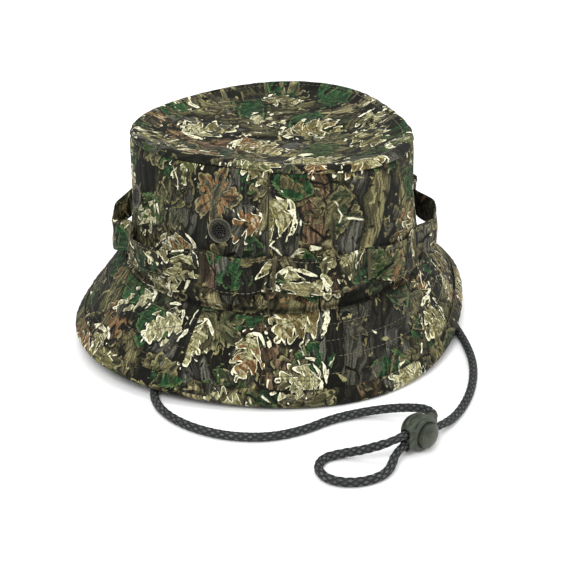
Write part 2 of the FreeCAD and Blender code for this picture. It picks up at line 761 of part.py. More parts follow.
def make_lock():
    """The lock's own Z axis is the plunger's, with the closed end at +Z and the strands along X."""
    frame = FreeCAD.Placement(LOCK, FreeCAD.Rotation(FreeCAD.Vector(1, 0, 0), -90))
    shell = revolved(
        "barrel_shell",
        [
            ("bore_radius", "-barrel_front"),
            ("barrel_radius", "-barrel_front"),
            ("barrel_radius", "barrel_back"),
            ("0", "barrel_back"),
            ("0", "pocket_depth"),
            ("pocket_radius", "pocket_depth"),
            ("pocket_radius", "bore_depth"),
            ("bore_radius", "bore_depth"),
        ],
    )
    outer = size("barrel_radius")
    rounded(shell, "barrel_round", lambda r, z: abs(r - outer) < TOLERANCE and z > 0)
    rounded(shell, "barrel_lip", lambda r, z: abs(r - outer) < TOLERANCE and z < 0)
    along = FreeCAD.Vector(1, 0, 0)
    collars = []
    channels = []
    for side in (-1, 1):
        level = side * size("strand_gap")
        start = FreeCAD.Vector(-size("collar_reach"), level, 0)
        collars.append(cylinder("Sizes.collar", "2 * Sizes.collar_reach", start, along))
        start = FreeCAD.Vector(-2 * size("collar_reach"), level, 0)
        channels.append(cylinder("Sizes.channel", "4 * Sizes.collar_reach", start, along))
    bore = cylinder(
        "Sizes.bore_radius",
        "Sizes.bore_depth + 2 * Sizes.barrel_front",
        FreeCAD.Vector(0, 0, -2 * size("barrel_front")),
        FreeCAD.Vector(0, 0, 1),
    )
    body = boolean("Cut", fused([shell] + collars), bore)
    barrel = boolean("Cut", body, fused(channels), "cord_lock_barrel")
    barrel.Placement = frame

    stem = revolved(
        "plunger_stem",
        [
            ("0", "-plunger_front"),
            ("button_radius", "-plunger_front"),
            ("button_radius", "-barrel_front - button_gap"),
            ("plunger_radius", "-barrel_front - button_gap"),
            ("plunger_radius", "plunger_back"),
            ("0", "plunger_back"),
        ],
    )
    face = -size("plunger_front")
    rounded(stem, "button_round", lambda r, z: abs(z - face) < TOLERANCE)
    slot = doc.addObject("Part::Box", "Slot")
    bind(slot, Length="4 * Sizes.bore_radius", Width="2 * Sizes.slot_height")
    bind(slot, Height="2 * Sizes.slot_half + Sizes.press")
    corner = (-2 * size("bore_radius"), -size("slot_height"), -size("slot_half") - size("press"))
    slot.Placement.Base = FreeCAD.Vector(*corner)
    plunger = boolean("Cut", stem, slot, "cord_lock_plunger")
    plunger.Placement = frame

    spring = doc.addObject("PartDesign::Body", "cord_lock_spring")
    wire = spring.newObject("Sketcher::SketchObject", "spring_wire")
    wire.AttachmentSupport = (origin_plane(spring, "XZ_Plane"), [""])
    wire.MapMode = "FlatFace"
    seat = size("plunger_back") + size("spring_wire") + size("sewn_gap")
    place = FreeCAD.Vector(size("spring_radius"), seat, 0)
    wire.addGeometry(Part.Circle(place, FreeCAD.Vector(0, 0, 1), size("spring_wire")), False)
    for kind, value, term in (
        ("Radius", size("spring_wire"), "Sizes.spring_wire"),
        ("DistanceX", place.x, "Sizes.spring_radius"),
        ("DistanceY", place.y, "Sizes.plunger_back + Sizes.spring_wire + Sizes.sewn_gap"),
    ):
        about = (0, value) if kind == "Radius" else (-1, 1, 0, 3, value)
        held = wire.addConstraint(Sketcher.Constraint(kind, *about))
        wire.setExpression(f"Constraints[{held}]", term)
    coil = spring.newObject("PartDesign::AdditiveHelix", "spring_coil")
    coil.Profile = wire
    coil.ReferenceAxis = (wire, ["V_Axis"])
    coil.Mode = "pitch-height-angle"
    coil.setExpression("Pitch", "Sizes.spring_pitch")
    room = "Sizes.pocket_depth - Sizes.plunger_back - 2 * Sizes.spring_wire - 2 * Sizes.sewn_gap"
    coil.setExpression("Height", room)
    doc.recompute()
    spring.Placement = frame
    keep(spring, "cord_lock_spring")


# ---------------------------------------------------------------- build and write

make_crown()
make_lining()
make_brim()
make_band()
make_vents()
make_cord()
make_lock()
doc.recompute()

faults = []
for item in doc.Objects:
    if "Invalid" in item.State or "Error" in item.State:
        faults.append(f"{item.Name} ({item.Label}): {item.State}")
for node in NODES:
    if node.Shape.isNull() or not node.Shape.isValid() or not node.Shape.Solids:
        faults.append(f"{node.Label}: shape is null, not valid or holds no solid")
if faults:
    raise SystemExit("\n".join(faults))
for node in NODES:
    node.Shape.exportStep(f"parts/{node.Label}.step")
    print(node.Label, len(node.Shape.Solids), round(node.Shape.Volume, 1))
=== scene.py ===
import math

import bpy
import numpy as np
from mathutils import Matrix, Vector
from mathutils.bvhtree import BVHTree


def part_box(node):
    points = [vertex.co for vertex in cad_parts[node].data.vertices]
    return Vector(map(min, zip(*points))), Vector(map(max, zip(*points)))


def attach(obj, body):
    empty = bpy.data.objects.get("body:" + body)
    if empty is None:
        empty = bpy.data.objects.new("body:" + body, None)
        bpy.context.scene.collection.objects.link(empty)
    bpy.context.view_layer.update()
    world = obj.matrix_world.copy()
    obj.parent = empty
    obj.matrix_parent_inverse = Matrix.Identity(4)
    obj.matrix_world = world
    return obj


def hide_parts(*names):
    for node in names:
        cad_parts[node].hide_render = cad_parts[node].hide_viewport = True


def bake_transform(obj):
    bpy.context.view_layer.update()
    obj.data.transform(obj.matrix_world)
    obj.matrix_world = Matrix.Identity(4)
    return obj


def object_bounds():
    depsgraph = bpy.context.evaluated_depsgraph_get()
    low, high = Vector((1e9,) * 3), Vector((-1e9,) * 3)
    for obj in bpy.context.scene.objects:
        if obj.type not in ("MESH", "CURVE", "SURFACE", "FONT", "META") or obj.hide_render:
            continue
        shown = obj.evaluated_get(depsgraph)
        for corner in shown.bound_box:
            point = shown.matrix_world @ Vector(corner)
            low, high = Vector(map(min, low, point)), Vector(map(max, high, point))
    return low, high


# The looks of a boonie hat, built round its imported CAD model. Shapes are worked out in millimetres
# and become Blender meshes in metres. A bearing is an angle in degrees round the crown: 0 is the
# front of the hat, towards -Y, and 90 is the ear on the +X side.

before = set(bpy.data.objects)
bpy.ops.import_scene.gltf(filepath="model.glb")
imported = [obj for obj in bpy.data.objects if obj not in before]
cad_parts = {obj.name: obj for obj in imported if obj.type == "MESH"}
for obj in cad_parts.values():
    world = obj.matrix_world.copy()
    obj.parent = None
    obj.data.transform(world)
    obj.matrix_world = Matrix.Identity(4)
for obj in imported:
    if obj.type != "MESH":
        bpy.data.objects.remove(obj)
cad_low, cad_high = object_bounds()

MM = 0.001
scene = bpy.context.scene
scene.view_settings.view_transform = "Standard"

# ---------------------------------------------------------------- sizes from the CAD model


def box_mm(node):
    """The lowest and highest corner of a CAD node, in millimetres."""
    low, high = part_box(node)
    return np.array(low) / MM, np.array(high) / MM


SIDES = [box_mm("crown_side_left"), box_mm("crown_side_right")]
WALL_LOW = min(low[2] for low, high in SIDES)
WALL_HIGH = max(high[2] for low, high in SIDES)
LOW_HALF = (max(high[0] for low, high in SIDES), max(high[1] for low, high in SIDES))
HIGH_HALF = tuple(box_mm("crown_top")[1][:2])
CROWN_HEIGHT = box_mm("crown_top")[1][2]
BAND_LOW, BAND_HIGH = box_mm("foliage_loop_01")[0][2], box_mm("foliage_loop_01")[1][2]
BAND_MIDDLE = (BAND_LOW + BAND_HIGH) / 2
SWEATBAND_HIGH = box_mm("sweatband")[1][2]
VENTS = ["vent_left_front", "vent_left_back", "vent_right_front", "vent_right_back"]
VENT_PLACES = [np.mean(box_mm(vent + "_eyelet"), axis=0) for vent in VENTS]

# ---------------------------------------------------------------- sizes shared with the CAD source

# All in millimetres and degrees. The crown meets the brim at the seam's height.
SEAM_HEIGHT = 43.5
CLOTH = 1.2
PANEL_SEAM = -46.6
BRIM_RADIUS, BRIM_FLARE, BRIM_FLARE_TURN = 127.0, 5.6, 24.0
BRIM_CORNER, BRIM_CORNER_TURN = 3.3, -5.0
EDGE_LIFT, EDGE_LIFT_TURN, EDGE_LAND = 12.0, -25.0, 0.8
BRIM_CLOTH, INTERLINING, SEAM_ROOM, SEAM_RISE = 0.9, 1.2, 0.6, 0.5
BRIM_DEEP = 2 * BRIM_CLOTH + INTERLINING
TAPE, TAPE_WIDTH = 1.2, 7.5
BAND_BOW, BAND_GAP, BAND_LAND, BAND_SHOULDER = 8.5, 0.2, 2.5, 0.3
CORD_ACROSS = 5.0
# The braid has this many yarns each way, and one turn of it takes this length of cord.
YARNS, BRAID_TURN = 5, 25.0
# Bearings of the foliage band's bars of stitches that the front shows. The rest share what is left.
STITCH_BEARINGS = [-117.0, -72.0, -44.5, -9.0, 19.0]
LOOPS_BEHIND = 6

# The soft shape that the foliage band has taken. Each loop has its own bow, as a share of the CAD
# model's, its own drop and lean in millimetres, and its lower edge may be raised. The whole band is
# sewn low at two of its bars: bearing, drop in millimetres and how far round that reaches.
LOOP_BOWS = [0.95, 0.60, 0.52, 0.55, 1.0, 1.0, 0.9, 0.95, 1.0, 1.05]
LOOP_DROPS = [1.0, 0.8, 0.7, 0.8, 0.6, 1.4, 1.0, 1.7, 0.8, 5.5]
LOOP_LEANS = [0.4, -2.4, -2.3, -2.1, -0.9, 0.9, -0.8, 0.6, 1.0, -0.5]
LOOP_RAISES = [2.6, -1.0, -1.2, -0.6, 1.0, 0.0, 0.0, 0.0, 0.0, 0.0]
BAND_DIPS = [(-117.0, 6.0, 34.0), (19.0, 4.5, 27.0)]

# Where each piece's cloth was cut from the print, in millimetres, so that no two pieces look alike.
# The brim's halves and the crown's top were also turned, by degrees. Each loop's is a step further on.
PANEL_PRINTS = {"right": (310, 40), "left": (20, 11)}
TOP_PRINT, TOP_PRINT_TURN = (700, 400), 45
BRIM_PRINTS = {"a": (1500, 300, 45), "b": (2100, 300, 80)}
UNDER_PRINT = 90
BINDING_PRINT = (3000, 900)
LOOP_PRINT, LOOP_PRINT_STEP = 3655, (57, 140)

# ---------------------------------------------------------------- mesh helpers


def joined(*parts):
    """Grids of numbers, broadcast together, as the columns of one grid of places."""
    return np.stack(np.broadcast_arrays(*parts), axis=-1)


def polar(bearing, radius, height):
    """Points from bearings in degrees, radii and heights; the arrays are broadcast together."""
    angle = np.radians(bearing)
    return joined(radius * np.sin(angle), -radius * np.cos(angle), height)


def turn_from(bearing, middle):
    """How far a bearing lies from another, from -180 to 180 degrees."""
    return (bearing - middle + 180) % 360 - 180


def ease(share):
    """Rises smoothly from 0 to 1 as the share does."""
    share = np.clip(share, 0.0, 1.0)
    return share * share * (3 - 2 * share)


def bell(distance, width):
    """A bump of height 1 that dies away over a width."""
    return np.exp(-((distance / width) ** 2))


def unit(vectors):
    """Vectors scaled to a length of 1."""
    return vectors / np.maximum(np.linalg.norm(vectors, axis=-1, keepdims=True), 1e-9)


def outwards(points):
    """Level directions from the hat's middle out to points."""
    return unit(points * np.array([1, 1, 0]))


def waves(seed, x, y, lengths, count=9):
    """A smooth wandering value of about -1 to 1 with wavelengths between the two lengths."""
    draw = np.random.default_rng(seed)
    total = np.zeros(np.broadcast(x, y).shape)
    for _ in range(count):
        length = lengths[0] * (lengths[1] / lengths[0]) ** draw.random()
        heading = draw.random() * 2 * math.pi
        phase = draw.random() * 2 * math.pi
        total += np.sin((x * math.cos(heading) + y * math.sin(heading)) * 2 * math.pi / length + phase)
    return total / math.sqrt(count)


def grid_normals(points, closed):
    """Normals of a grid of points whose columns run round and whose rows run up."""
    if closed:
        along = np.roll(points, -1, axis=1) - np.roll(points, 1, axis=1)
    else:
        along = np.gradient(points, axis=1)
    return unit(np.cross(along, np.gradient(points, axis=0)))


def placed(name, data):
    """A new object in the scene."""
    made = bpy.data.objects.new(name, data)
    scene.collection.objects.link(made)
    return made


def bare_mesh(name, points, faces):
    """A mesh in metres from points in millimetres."""
    mesh = bpy.data.meshes.new(name)
    mesh.from_pydata((np.asarray(points) * MM).tolist(), [], [list(map(int, face)) for face in faces])
    return mesh


def mesh_points(mesh):
    """The points of a mesh, in its own units."""
    return np.array([vertex.co for vertex in mesh.vertices], dtype=float)


def new_object(name, points, faces, materials, cloth=None, face_materials=None, smooth=60):
    """A mesh object in metres from points in millimetres, with its place in the cloth's print.

    The place in the print may have a third number, from 0 to 1, which is how much painted shade darkens
    the cloth.
    """
    mesh = bare_mesh(name, points, faces)
    for material in materials:
        mesh.materials.append(material)
    if face_materials is not None:
        mesh.polygons.foreach_set("material_index", np.asarray(face_materials, dtype=np.int32))
    if cloth is not None:
        flat = np.zeros((len(points), 3), dtype=np.float32)
        flat[:, :np.shape(cloth)[1]] = cloth
        mesh.attributes.new("cloth", "FLOAT_VECTOR", "POINT").data.foreach_set("vector", flat.ravel())
    mesh.shade_smooth()
    mesh.set_sharp_from_angle(angle=math.radians(smooth))
    return placed(name, mesh)


def finished(piece, slot, *nodes, body="root"):
    """Puts a piece on its body and hides the CAD nodes that it stands for. The slot is not used."""
    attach(piece, body)
    if nodes:
        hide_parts(*nodes)
    return piece


def grid_faces(rows, columns, closed, first=0, flip=False):
    """Quads over a grid of rows and columns of points."""
    last = columns if closed else columns - 1
    row, column = np.meshgrid(np.arange(rows - 1), np.arange(last), indexing="ij")
    after = (column + 1) % columns
    quads = np.stack([row * columns + column, row * columns + after, (row + 1) * columns + after,
                      (row + 1) * columns + column], axis=-1).reshape(-1, 4)
    return first + (quads[:, ::-1] if flip else quads)


def shell(name, outer, inner, cloth, materials, closed=False, holes=()):
    """A closed piece of cloth between two grids of points: its face, its reverse and its edges.

    The face has the first material and the reverse and edges have the last one. Each hole is a point
    and the distance from it within which the cloth is cut away.
    """
    rows, columns = outer.shape[:2]
    count = rows * columns
    front = grid_faces(rows, columns, closed)
    middles = outer.reshape(-1, 3)[front].mean(axis=1)
    kept = np.ones(len(front), dtype=bool)
    for middle, radius in holes:
        kept &= np.linalg.norm(middles - middle, axis=-1) > radius
    back = grid_faces(rows, columns, closed, count, flip=True)[kept]
    cut = {(int(quad[side - 1]), int(quad[side])) for quad in front[~kept] for side in range(4)}
    rims = [[start, end, count + end, count + start] for start, end in sorted(cut)
            if (end, start) not in cut]
    front = front[kept]
    grid = np.arange(count).reshape(rows, columns)
    level = np.concatenate([grid, grid[:, :1]], axis=1) if closed else grid
    borders = [(level[0], True), (level[-1], False)]
    if not closed:
        borders += [(grid[:, 0], False), (grid[:, -1], True)]
    edges = []
    for border, flip in borders:
        for start, end in zip(border[:-1], border[1:]):
            quad = [start, end, count + end, count + start]
            edges.append(quad[::-1] if flip else quad)
    points = np.concatenate([outer.reshape(-1, 3), inner.reshape(-1, 3)])
    edges += rims
    faces = np.concatenate([front, back, np.array(edges)])
    last = len(materials) - 1
    index = np.concatenate([np.zeros(len(front)), np.full(len(back) + len(edges), last)])
    flat = cloth.reshape(-1, cloth.shape[-1])
    return new_object(name, points, faces, materials, np.concatenate([flat, flat]), index)


def tube(line, side, up, radius, spokes):
    """Rings of points round a line: side and up are the directions across it."""
    around = (np.arange(spokes) * 2 * math.pi / spokes)[None, :, None]
    points = line[:, None] + radius * (np.cos(around) * side[:, None] + np.sin(around) * up[:, None])
    return points.reshape(-1, 3)


def even_steps(points, spacing):
    """Points at an even spacing along a polyline, with their directions and how far along they are."""
    runs = np.linalg.norm(np.diff(points, axis=0), axis=1)
    far = np.concatenate([[0], np.cumsum(runs)])
    count = max(2, int(round(far[-1] / spacing)) + 1)
    stops = np.linspace(0, far[-1], count)
    placed = np.stack([np.interp(stops, far, points[:, axis]) for axis in range(3)], axis=1)
    return placed, unit(np.gradient(placed, axis=0)), stops


STITCH_LONG, STITCH_GAP, STITCH_WIDE = 2.3, 0.75, 0.42
# A stitch stands up by the first of these at its middle and goes in by the second towards its ends.
STITCH_RISE, STITCH_SINK = 0.13, 0.28


def stitching(name, rows):
    """Rows of separate stitches. Each row is (points, normals) along a surface, in millimetres."""
    stations = np.linspace(-0.5, 0.5, 6)
    around = np.arange(6) * math.pi / 3
    girth = np.sqrt(np.clip(1 - (2 * np.abs(stations)) ** 4, 0.02, 1))
    rise = STITCH_RISE - STITCH_SINK * (2 * stations) ** 4
    points = []
    for line, normals in rows:
        placed, ahead, _ = even_steps(line, STITCH_LONG + STITCH_GAP)
        share = np.linspace(0, 1, len(line))
        wanted = np.linspace(0, 1, len(placed))
        up = unit(np.stack([np.interp(wanted, share, normals[:, axis]) for axis in range(3)], axis=1))
        side = unit(np.cross(up, ahead))
        along = stations[None, :, None, None] * STITCH_LONG * ahead[:, None, None, :]
        across = (girth[:, None] * np.cos(around))[None, :, :, None] * STITCH_WIDE / 2
        across = across * side[:, None, None, :]
        lift = (girth[:, None] * np.sin(around) * STITCH_WIDE / 2 + rise[:, None])[None, :, :, None]
        points.append(placed[:, None, None, :] + along + across + lift * up[:, None, None, :])
    points = np.concatenate(points)
    count = len(points)
    size = len(stations) * len(around)
    faces = grid_faces(6, 6, True)[None] + size * np.arange(count)[:, None, None]
    faces = faces.reshape(-1, 4).tolist()
    ends = [[5, 4, 3, 2, 1, 0], [30, 31, 32, 33, 34, 35]]
    faces += [[size * index + corner for corner in end] for index in range(count) for end in ends]
    flat = np.tile(np.stack([np.repeat(stations * 3, 6), np.tile(around, 6)], axis=-1), (count, 1))
    finished(new_object(name, points.reshape(-1, 3), faces, [THREAD], flat, smooth=80), "thread")


# ---------------------------------------------------------------- materials


def colour(red, green, blue):
    """A colour for a shader from the 0 to 255 values that a paint chart gives."""
    parts = []
    for value in (red, green, blue):
        share = value / 255
        parts.append(share / 12.92 if share <= 0.04045 else ((share + 0.055) / 1.055) ** 2.4)
    return (*parts, 1.0)


class Shader:
    """A material being wired up: each method adds a node and gives its output socket."""

    def __init__(self, name):
        self.material = bpy.data.materials.new(name)
        self.material.use_nodes = True
        self.tree = self.material.node_tree
        self.surface = self.tree.nodes["Principled BSDF"]
        self.fixed("Specular IOR Level", 0.3)

    def fixed(self, name, value):
        """Sets a number that is the same all over the surface."""
        self.surface.inputs[name].default_value = value

    def put(self, socket, value):
        if isinstance(value, bpy.types.NodeSocket):
            self.tree.links.new(value, socket)
        else:
            socket.default_value = value

    def node(self, kind, inputs, output=0, **settings):
        made = self.tree.nodes.new(kind)
        for name, value in settings.items():
            setattr(made, name, value)
        for key, value in inputs.items():
            self.put(made.inputs[key], value)
        return made.outputs[output]

    def set(self, **values):
        for name, value in values.items():
            self.put(self.surface.inputs[name.replace("_", " ").title().replace("Ior", "IOR")], value)

    def math(self, operation, *values, clamp=False):
        return self.node("ShaderNodeMath", dict(enumerate(values)), operation=operation, use_clamp=clamp)

    def vector(self, operation, *values):
        output = 1 if operation in ("DOT_PRODUCT", "LENGTH", "DISTANCE") else 0
        return self.node("ShaderNodeVectorMath", dict(enumerate(values)), output, operation=operation)

    def scaled(self, vector, factor):
        return self.node("ShaderNodeVectorMath", {0: vector, "Scale": factor}, operation="SCALE")

    def smooth(self, value, low, high, start=0.0, end=1.0):
        """Rises smoothly from start to end while the value goes from low to high."""
        return self.node("ShaderNodeMapRange", {"Value": value, "From Min": low, "From Max": high,
                                                "To Min": start, "To Max": end},
                         interpolation_type="SMOOTHSTEP")

    def mix(self, share, first, second):
        """The first colour with a share of the second one in it."""
        return self.node("ShaderNodeMix", {0: share, 6: first, 7: second}, 2, data_type="RGBA")

    def mapped(self, vector, scale, turn=0.0, shift=(0, 0, 0)):
        return self.node("ShaderNodeMapping", {"Vector": vector, "Scale": scale,
                                               "Rotation": (0, 0, turn), "Location": shift})

    def noise(self, vector, scale, detail, output="Fac", **inputs):
        inputs = {"Vector": vector, "Scale": scale, "Detail": detail, **inputs}
        return self.node("ShaderNodeTexNoise", inputs, output, noise_dimensions="2D")

    def ramp(self, value, stops):
        """One of several flat colours. Each stop is where it starts, from 0 to 1, and the colour."""
        made = self.tree.nodes.new("ShaderNodeValToRGB")
        made.color_ramp.interpolation = "CONSTANT"
        elements = made.color_ramp.elements
        while len(elements) < len(stops):
            elements.new(1.0)
        for element, (place, *tint) in zip(elements, stops):
            element.position = place
            element.color = colour(*tint)
        self.put(made.inputs[0], value)
        return made.outputs[0]

    def bump(self, height, distance, strength):
        inputs = {"Height": height, "Distance": distance, "Strength": strength}
        return self.node("ShaderNodeBump", inputs)

    def ribs(self, place):
        """Even ribs across x, one to each unit of it, from -1 to 1."""
        across = self.node("ShaderNodeSeparateXYZ", {0: place})
        return self.math("SINE", self.math("MULTIPLY", across, 2 * math.pi))

    def arches(self, value, rate, wave="COSINE"):
        """Round arches side by side, from 0 to 1, each pi divided by the rate wide."""
        return self.math("ABSOLUTE", self.math(wave, self.math("MULTIPLY", value, rate)))

    def shake(self, random, reach):
        """A random colour from 0 to 1 as a push of up to half the reach each way."""
        return self.scaled(self.vector("SUBTRACT", random, (0.5, 0.5, 0.5)), reach)

    def cells(self, place, output="Color", **settings):
        """A flat net of cells: each cell's own colour, or the distance to the net's nearest line."""
        return self.node("ShaderNodeTexVoronoi", {"Vector": place, "Scale": 1.0}, output,
                         voronoi_dimensions="2D", **settings)

    def cloth(self):
        """The place in the cloth's print, in millimetres."""
        return self.node("ShaderNodeAttribute", {}, "Vector", attribute_name="cloth")


TWILL_PITCH = 0.85


def twill(shader, cloth, pitch=TWILL_PITCH, depth=0.00008):
    """The slanting ribs of twill cotton: the rib's height, and a normal that shows it."""
    turned = shader.mapped(cloth, (1 / pitch, 1 / pitch, 1), math.radians(28))
    rib = shader.ribs(turned)
    cross = shader.mapped(cloth, (2 / pitch, 2 / pitch, 1), math.radians(-50))
    yarn = shader.ribs(cross)
    slub = shader.noise(cloth, 1.1, 3.0)
    height = shader.math("MULTIPLY_ADD", yarn, 0.3, shader.math("ADD", rib, slub))
    return height, shader.bump(height, depth, 0.6)


# The leaves of the print, from the lowest layer up: cell is the room for one leaf in millimetres,
# share is how many cells hold one, rim is the colour of its edge and tints are those of its middle.
LEAVES = [
    dict(shape="ovate", cell=36, turn=0.35, seed=3.1, share=0.66, wide=0.27, rim=colour(104, 98, 66),
         tints=[(0.0, 52, 50, 36), (0.3, 68, 68, 54), (0.6, 44, 56, 36),
                (0.85, 86, 80, 54)], vein=colour(26, 24, 22)),
    dict(shape="palmate", cell=40, turn=1.25, seed=7.7, share=0.46, wide=0.42, rim=colour(132, 126, 90),
         tints=[(0.0, 86, 82, 56), (0.35, 76, 74, 58), (0.65, 114, 88, 58),
                (0.85, 72, 76, 50)], vein=colour(34, 34, 26)),
    dict(shape="ovate", cell=38, turn=2.2, seed=12.9, share=0.40, wide=0.29, rim=colour(76, 96, 58),
         tints=[(0.0, 34, 64, 36), (0.4, 34, 52, 32), (0.7, 54, 68, 38),
                (0.88, 42, 72, 42)], vein=colour(18, 28, 18)),
    dict(shape="oak", cell=45, turn=0.8, seed=21.3, share=0.34, wide=0.34, rim=colour(220, 218, 186),
         tints=[(0.0, 118, 112, 70), (0.4, 140, 134, 94), (0.7, 112, 98, 60),
                (0.88, 96, 100, 60)], vein=colour(52, 50, 32)),
    dict(shape="oak", cell=34, turn=1.9, seed=31.7, share=0.22, wide=0.32, rim=colour(224, 222, 194),
         tints=[(0.0, 136, 132, 92), (0.45, 124, 94, 58), (0.75, 160, 156, 120)],
         vein=colour(46, 44, 30)),
]
LEAF_HALF = 0.44
# The colours of the strips of bark behind the leaves, and where each starts on a scale from 0 to 1.
TRUNKS = [(0.0, 27, 27, 20), (0.22, 84, 82, 56), (0.36, 62, 61, 52),
          (0.50, 104, 99, 68), (0.64, 38, 39, 28), (0.74, 96, 78, 58),
          (0.84, 80, 79, 70), (0.92, 128, 120, 88)]
SHADOW = colour(13, 13, 8)


def ragged(shader, cloth, scale, reach):
    """The place in the print, shaken by up to about half the reach so that outlines come out ragged."""
    return shader.vector("ADD", cloth, shader.shake(shader.noise(cloth, scale, 2.0, "Color"), reach))


def mottled(shader, cloth, turn, low, high, along, across):
    """Streaky light and dark, as a printed drawing of leaves and bark has."""
    fleck = shader.noise(shader.mapped(cloth, (across, along, 1), turn), 1.0, 2.5, Roughness=0.6)
    return shader.smooth(fleck, 0.42, 0.60, low, high)


def leaf_outline(shader, shape, wide, x, y):
    """How far a point is inside a leaf that lies along x, negative outside, and its veins.

    Places are in cells. A leaf's stalk end is at -LEAF_HALF and its tip at +LEAF_HALF.
    """
    aside = shader.math("ABSOLUTE", y)
    if shape == "palmate":
        around = shader.math("ARCTAN2", y, x)
        squares = shader.math("MULTIPLY_ADD", x, x, shader.math("MULTIPLY", y, y))
        lobe = shader.math("POWER", shader.arches(around, 2.5), 0.75)
        tooth = shader.arches(around, 7.5)
        edge = shader.math("MULTIPLY_ADD", lobe, 0.6 * wide,
                           shader.math("MULTIPLY_ADD", tooth, 0.16 * wide, 0.3 * wide))
        inside = shader.math("SUBTRACT", edge, shader.math("SQRT", squares))
        return inside, shader.smooth(lobe, 0.975, 0.998)
    along = shader.math("MULTIPLY_ADD", x, 0.5 / LEAF_HALF, 0.5, clamp=True)
    skew = shader.math("MULTIPLY_ADD", aside, -1.15, along)
    swell = shader.math("SINE", shader.math("MULTIPLY", shader.math("POWER", along, 0.8), math.pi))
    if shape == "oak":
        lobe = shader.math("COSINE", shader.math("MULTIPLY_ADD", skew, 2 * math.pi * 3.6, 2.4))
        lobe = shader.math("POWER", shader.math("MULTIPLY_ADD", lobe, 0.5, 0.5), 0.65)
        edge = shader.math("MULTIPLY", shader.math("POWER", shader.math("MAXIMUM", swell, 0.0), 0.7),
                           shader.math("MULTIPLY_ADD", lobe, 0.68 * wide, 0.32 * wide))
    else:
        tooth = shader.math("FRACT", shader.math("MULTIPLY", skew, 9.0))
        tooth = shader.math("MULTIPLY_ADD", tooth, 0.14 * wide, 0.86 * wide)
        edge = shader.math("MULTIPLY", swell, tooth)
    inside = shader.math("SUBTRACT", shader.math("SUBTRACT", edge, aside), 0.006)
    side = shader.math("FRACT", shader.math("MULTIPLY", skew, 9.0))
    side = shader.math("ABSOLUTE", shader.math("SUBTRACT", side, 0.5))
    midrib = shader.smooth(aside, 0.016, 0.005)
    return inside, shader.math("MAXIMUM", shader.smooth(side, 0.38, 0.49, 0.0, 0.8), midrib)


def leaf_layer(shader, cloth, below, shape, cell, turn, seed, share, wide, rim, tints, vein):
    """Prints one layer of leaves over the colour below."""
    shaken = ragged(shader, cloth, 0.16, 2.2)
    place = shader.mapped(shaken, (1 / cell, 1 / cell, 1), turn, (seed, seed * 1.7, 0))
    corner = shader.vector("ADD", shader.vector("FLOOR", place), (seed, 0.0, 0.0))
    chance = shader.node("ShaderNodeTexWhiteNoise", {"Vector": corner}).node
    drawn = shader.node("ShaderNodeSeparateColor", {0: chance.outputs["Color"]}).node
    local = shader.vector("SUBTRACT", shader.vector("FRACTION", place), (0.5, 0.5, 0.0))
    angle = shader.math("MULTIPLY", chance.outputs["Value"], 2 * math.pi)
    lying = shader.vector("SUBTRACT", local, shader.shake(chance.outputs["Color"], 0.16))
    lying = {"Vector": lying, "Angle": angle}
    lying = shader.node("ShaderNodeVectorRotate", lying, rotation_type="Z_AXIS")
    parts = shader.node("ShaderNodeSeparateXYZ", {0: lying}).node
    inside, veins = leaf_outline(shader, shape, wide, parts.outputs[0], parts.outputs[1])
    there = shader.math("LESS_THAN", drawn.outputs[0], share)
    streaks = mottled(shader, lying, 0.9, 0.0, 1.0, along=3.5, across=15.0)
    blotch = mottled(shader, cloth, turn * 3, 0.0, 1.0, along=0.16, across=0.3)
    middle = shader.ramp(drawn.outputs[1], tints)
    middle = shader.scaled(middle, shader.math("MULTIPLY_ADD", streaks, 0.7, 0.55))
    middle = shader.mix(shader.math("MULTIPLY", veins, 0.85), middle, vein)
    light = shader.math("MULTIPLY_ADD", blotch, 0.032, 0.012)
    light = shader.smooth(shader.math("SUBTRACT", inside, light), -0.006, 0.02, 1.0, 0.0)
    body = shader.mix(light, middle, rim)
    glint = shader.smooth(streaks, 0.9, 0.98, 0.0, 0.3)
    glint = shader.math("MULTIPLY", shader.smooth(inside, 0.10, 0.16), glint)
    body = shader.mix(glint, body, rim)
    shade = shader.math("MULTIPLY", shader.smooth(inside, -0.10, 0.0, 0.0, 0.92), there)
    under = shader.mix(shade, below, SHADOW)
    mask = shader.math("MULTIPLY", shader.smooth(inside, -0.004, 0.008), there)
    return shader.mix(mask, under, body)


def bark(shader, cloth):
    """Trunks and shadow: tall ragged strips in dark browns and olive, split by dark cracks."""
    bent = ragged(shader, cloth, 0.045, 14.0)
    fine = ragged(shader, bent, 0.3, 1.9)
    tall = shader.mapped(fine, (1 / 17, 1 / 60, 1))
    strips = shader.cells(tall)
    drawn = shader.node("ShaderNodeSeparateColor", {0: strips})
    tint = shader.ramp(drawn, TRUNKS)
    tint = shader.scaled(tint, mottled(shader, bent, 0.0, 0.42, 1.45, along=0.045, across=0.62))
    cracks = shader.cells(tall, "Distance", feature="DISTANCE_TO_EDGE")
    tint = shader.mix(shader.smooth(cracks, 0.0, 0.10, 0.95, 0.0), tint, SHADOW)
    gloom = shader.noise(shader.mapped(bent, (0.05, 0.016, 1)), 1.0, 2.0)
    return shader.mix(shader.smooth(gloom, 0.55, 0.61, 0.0, 0.75), tint, SHADOW)


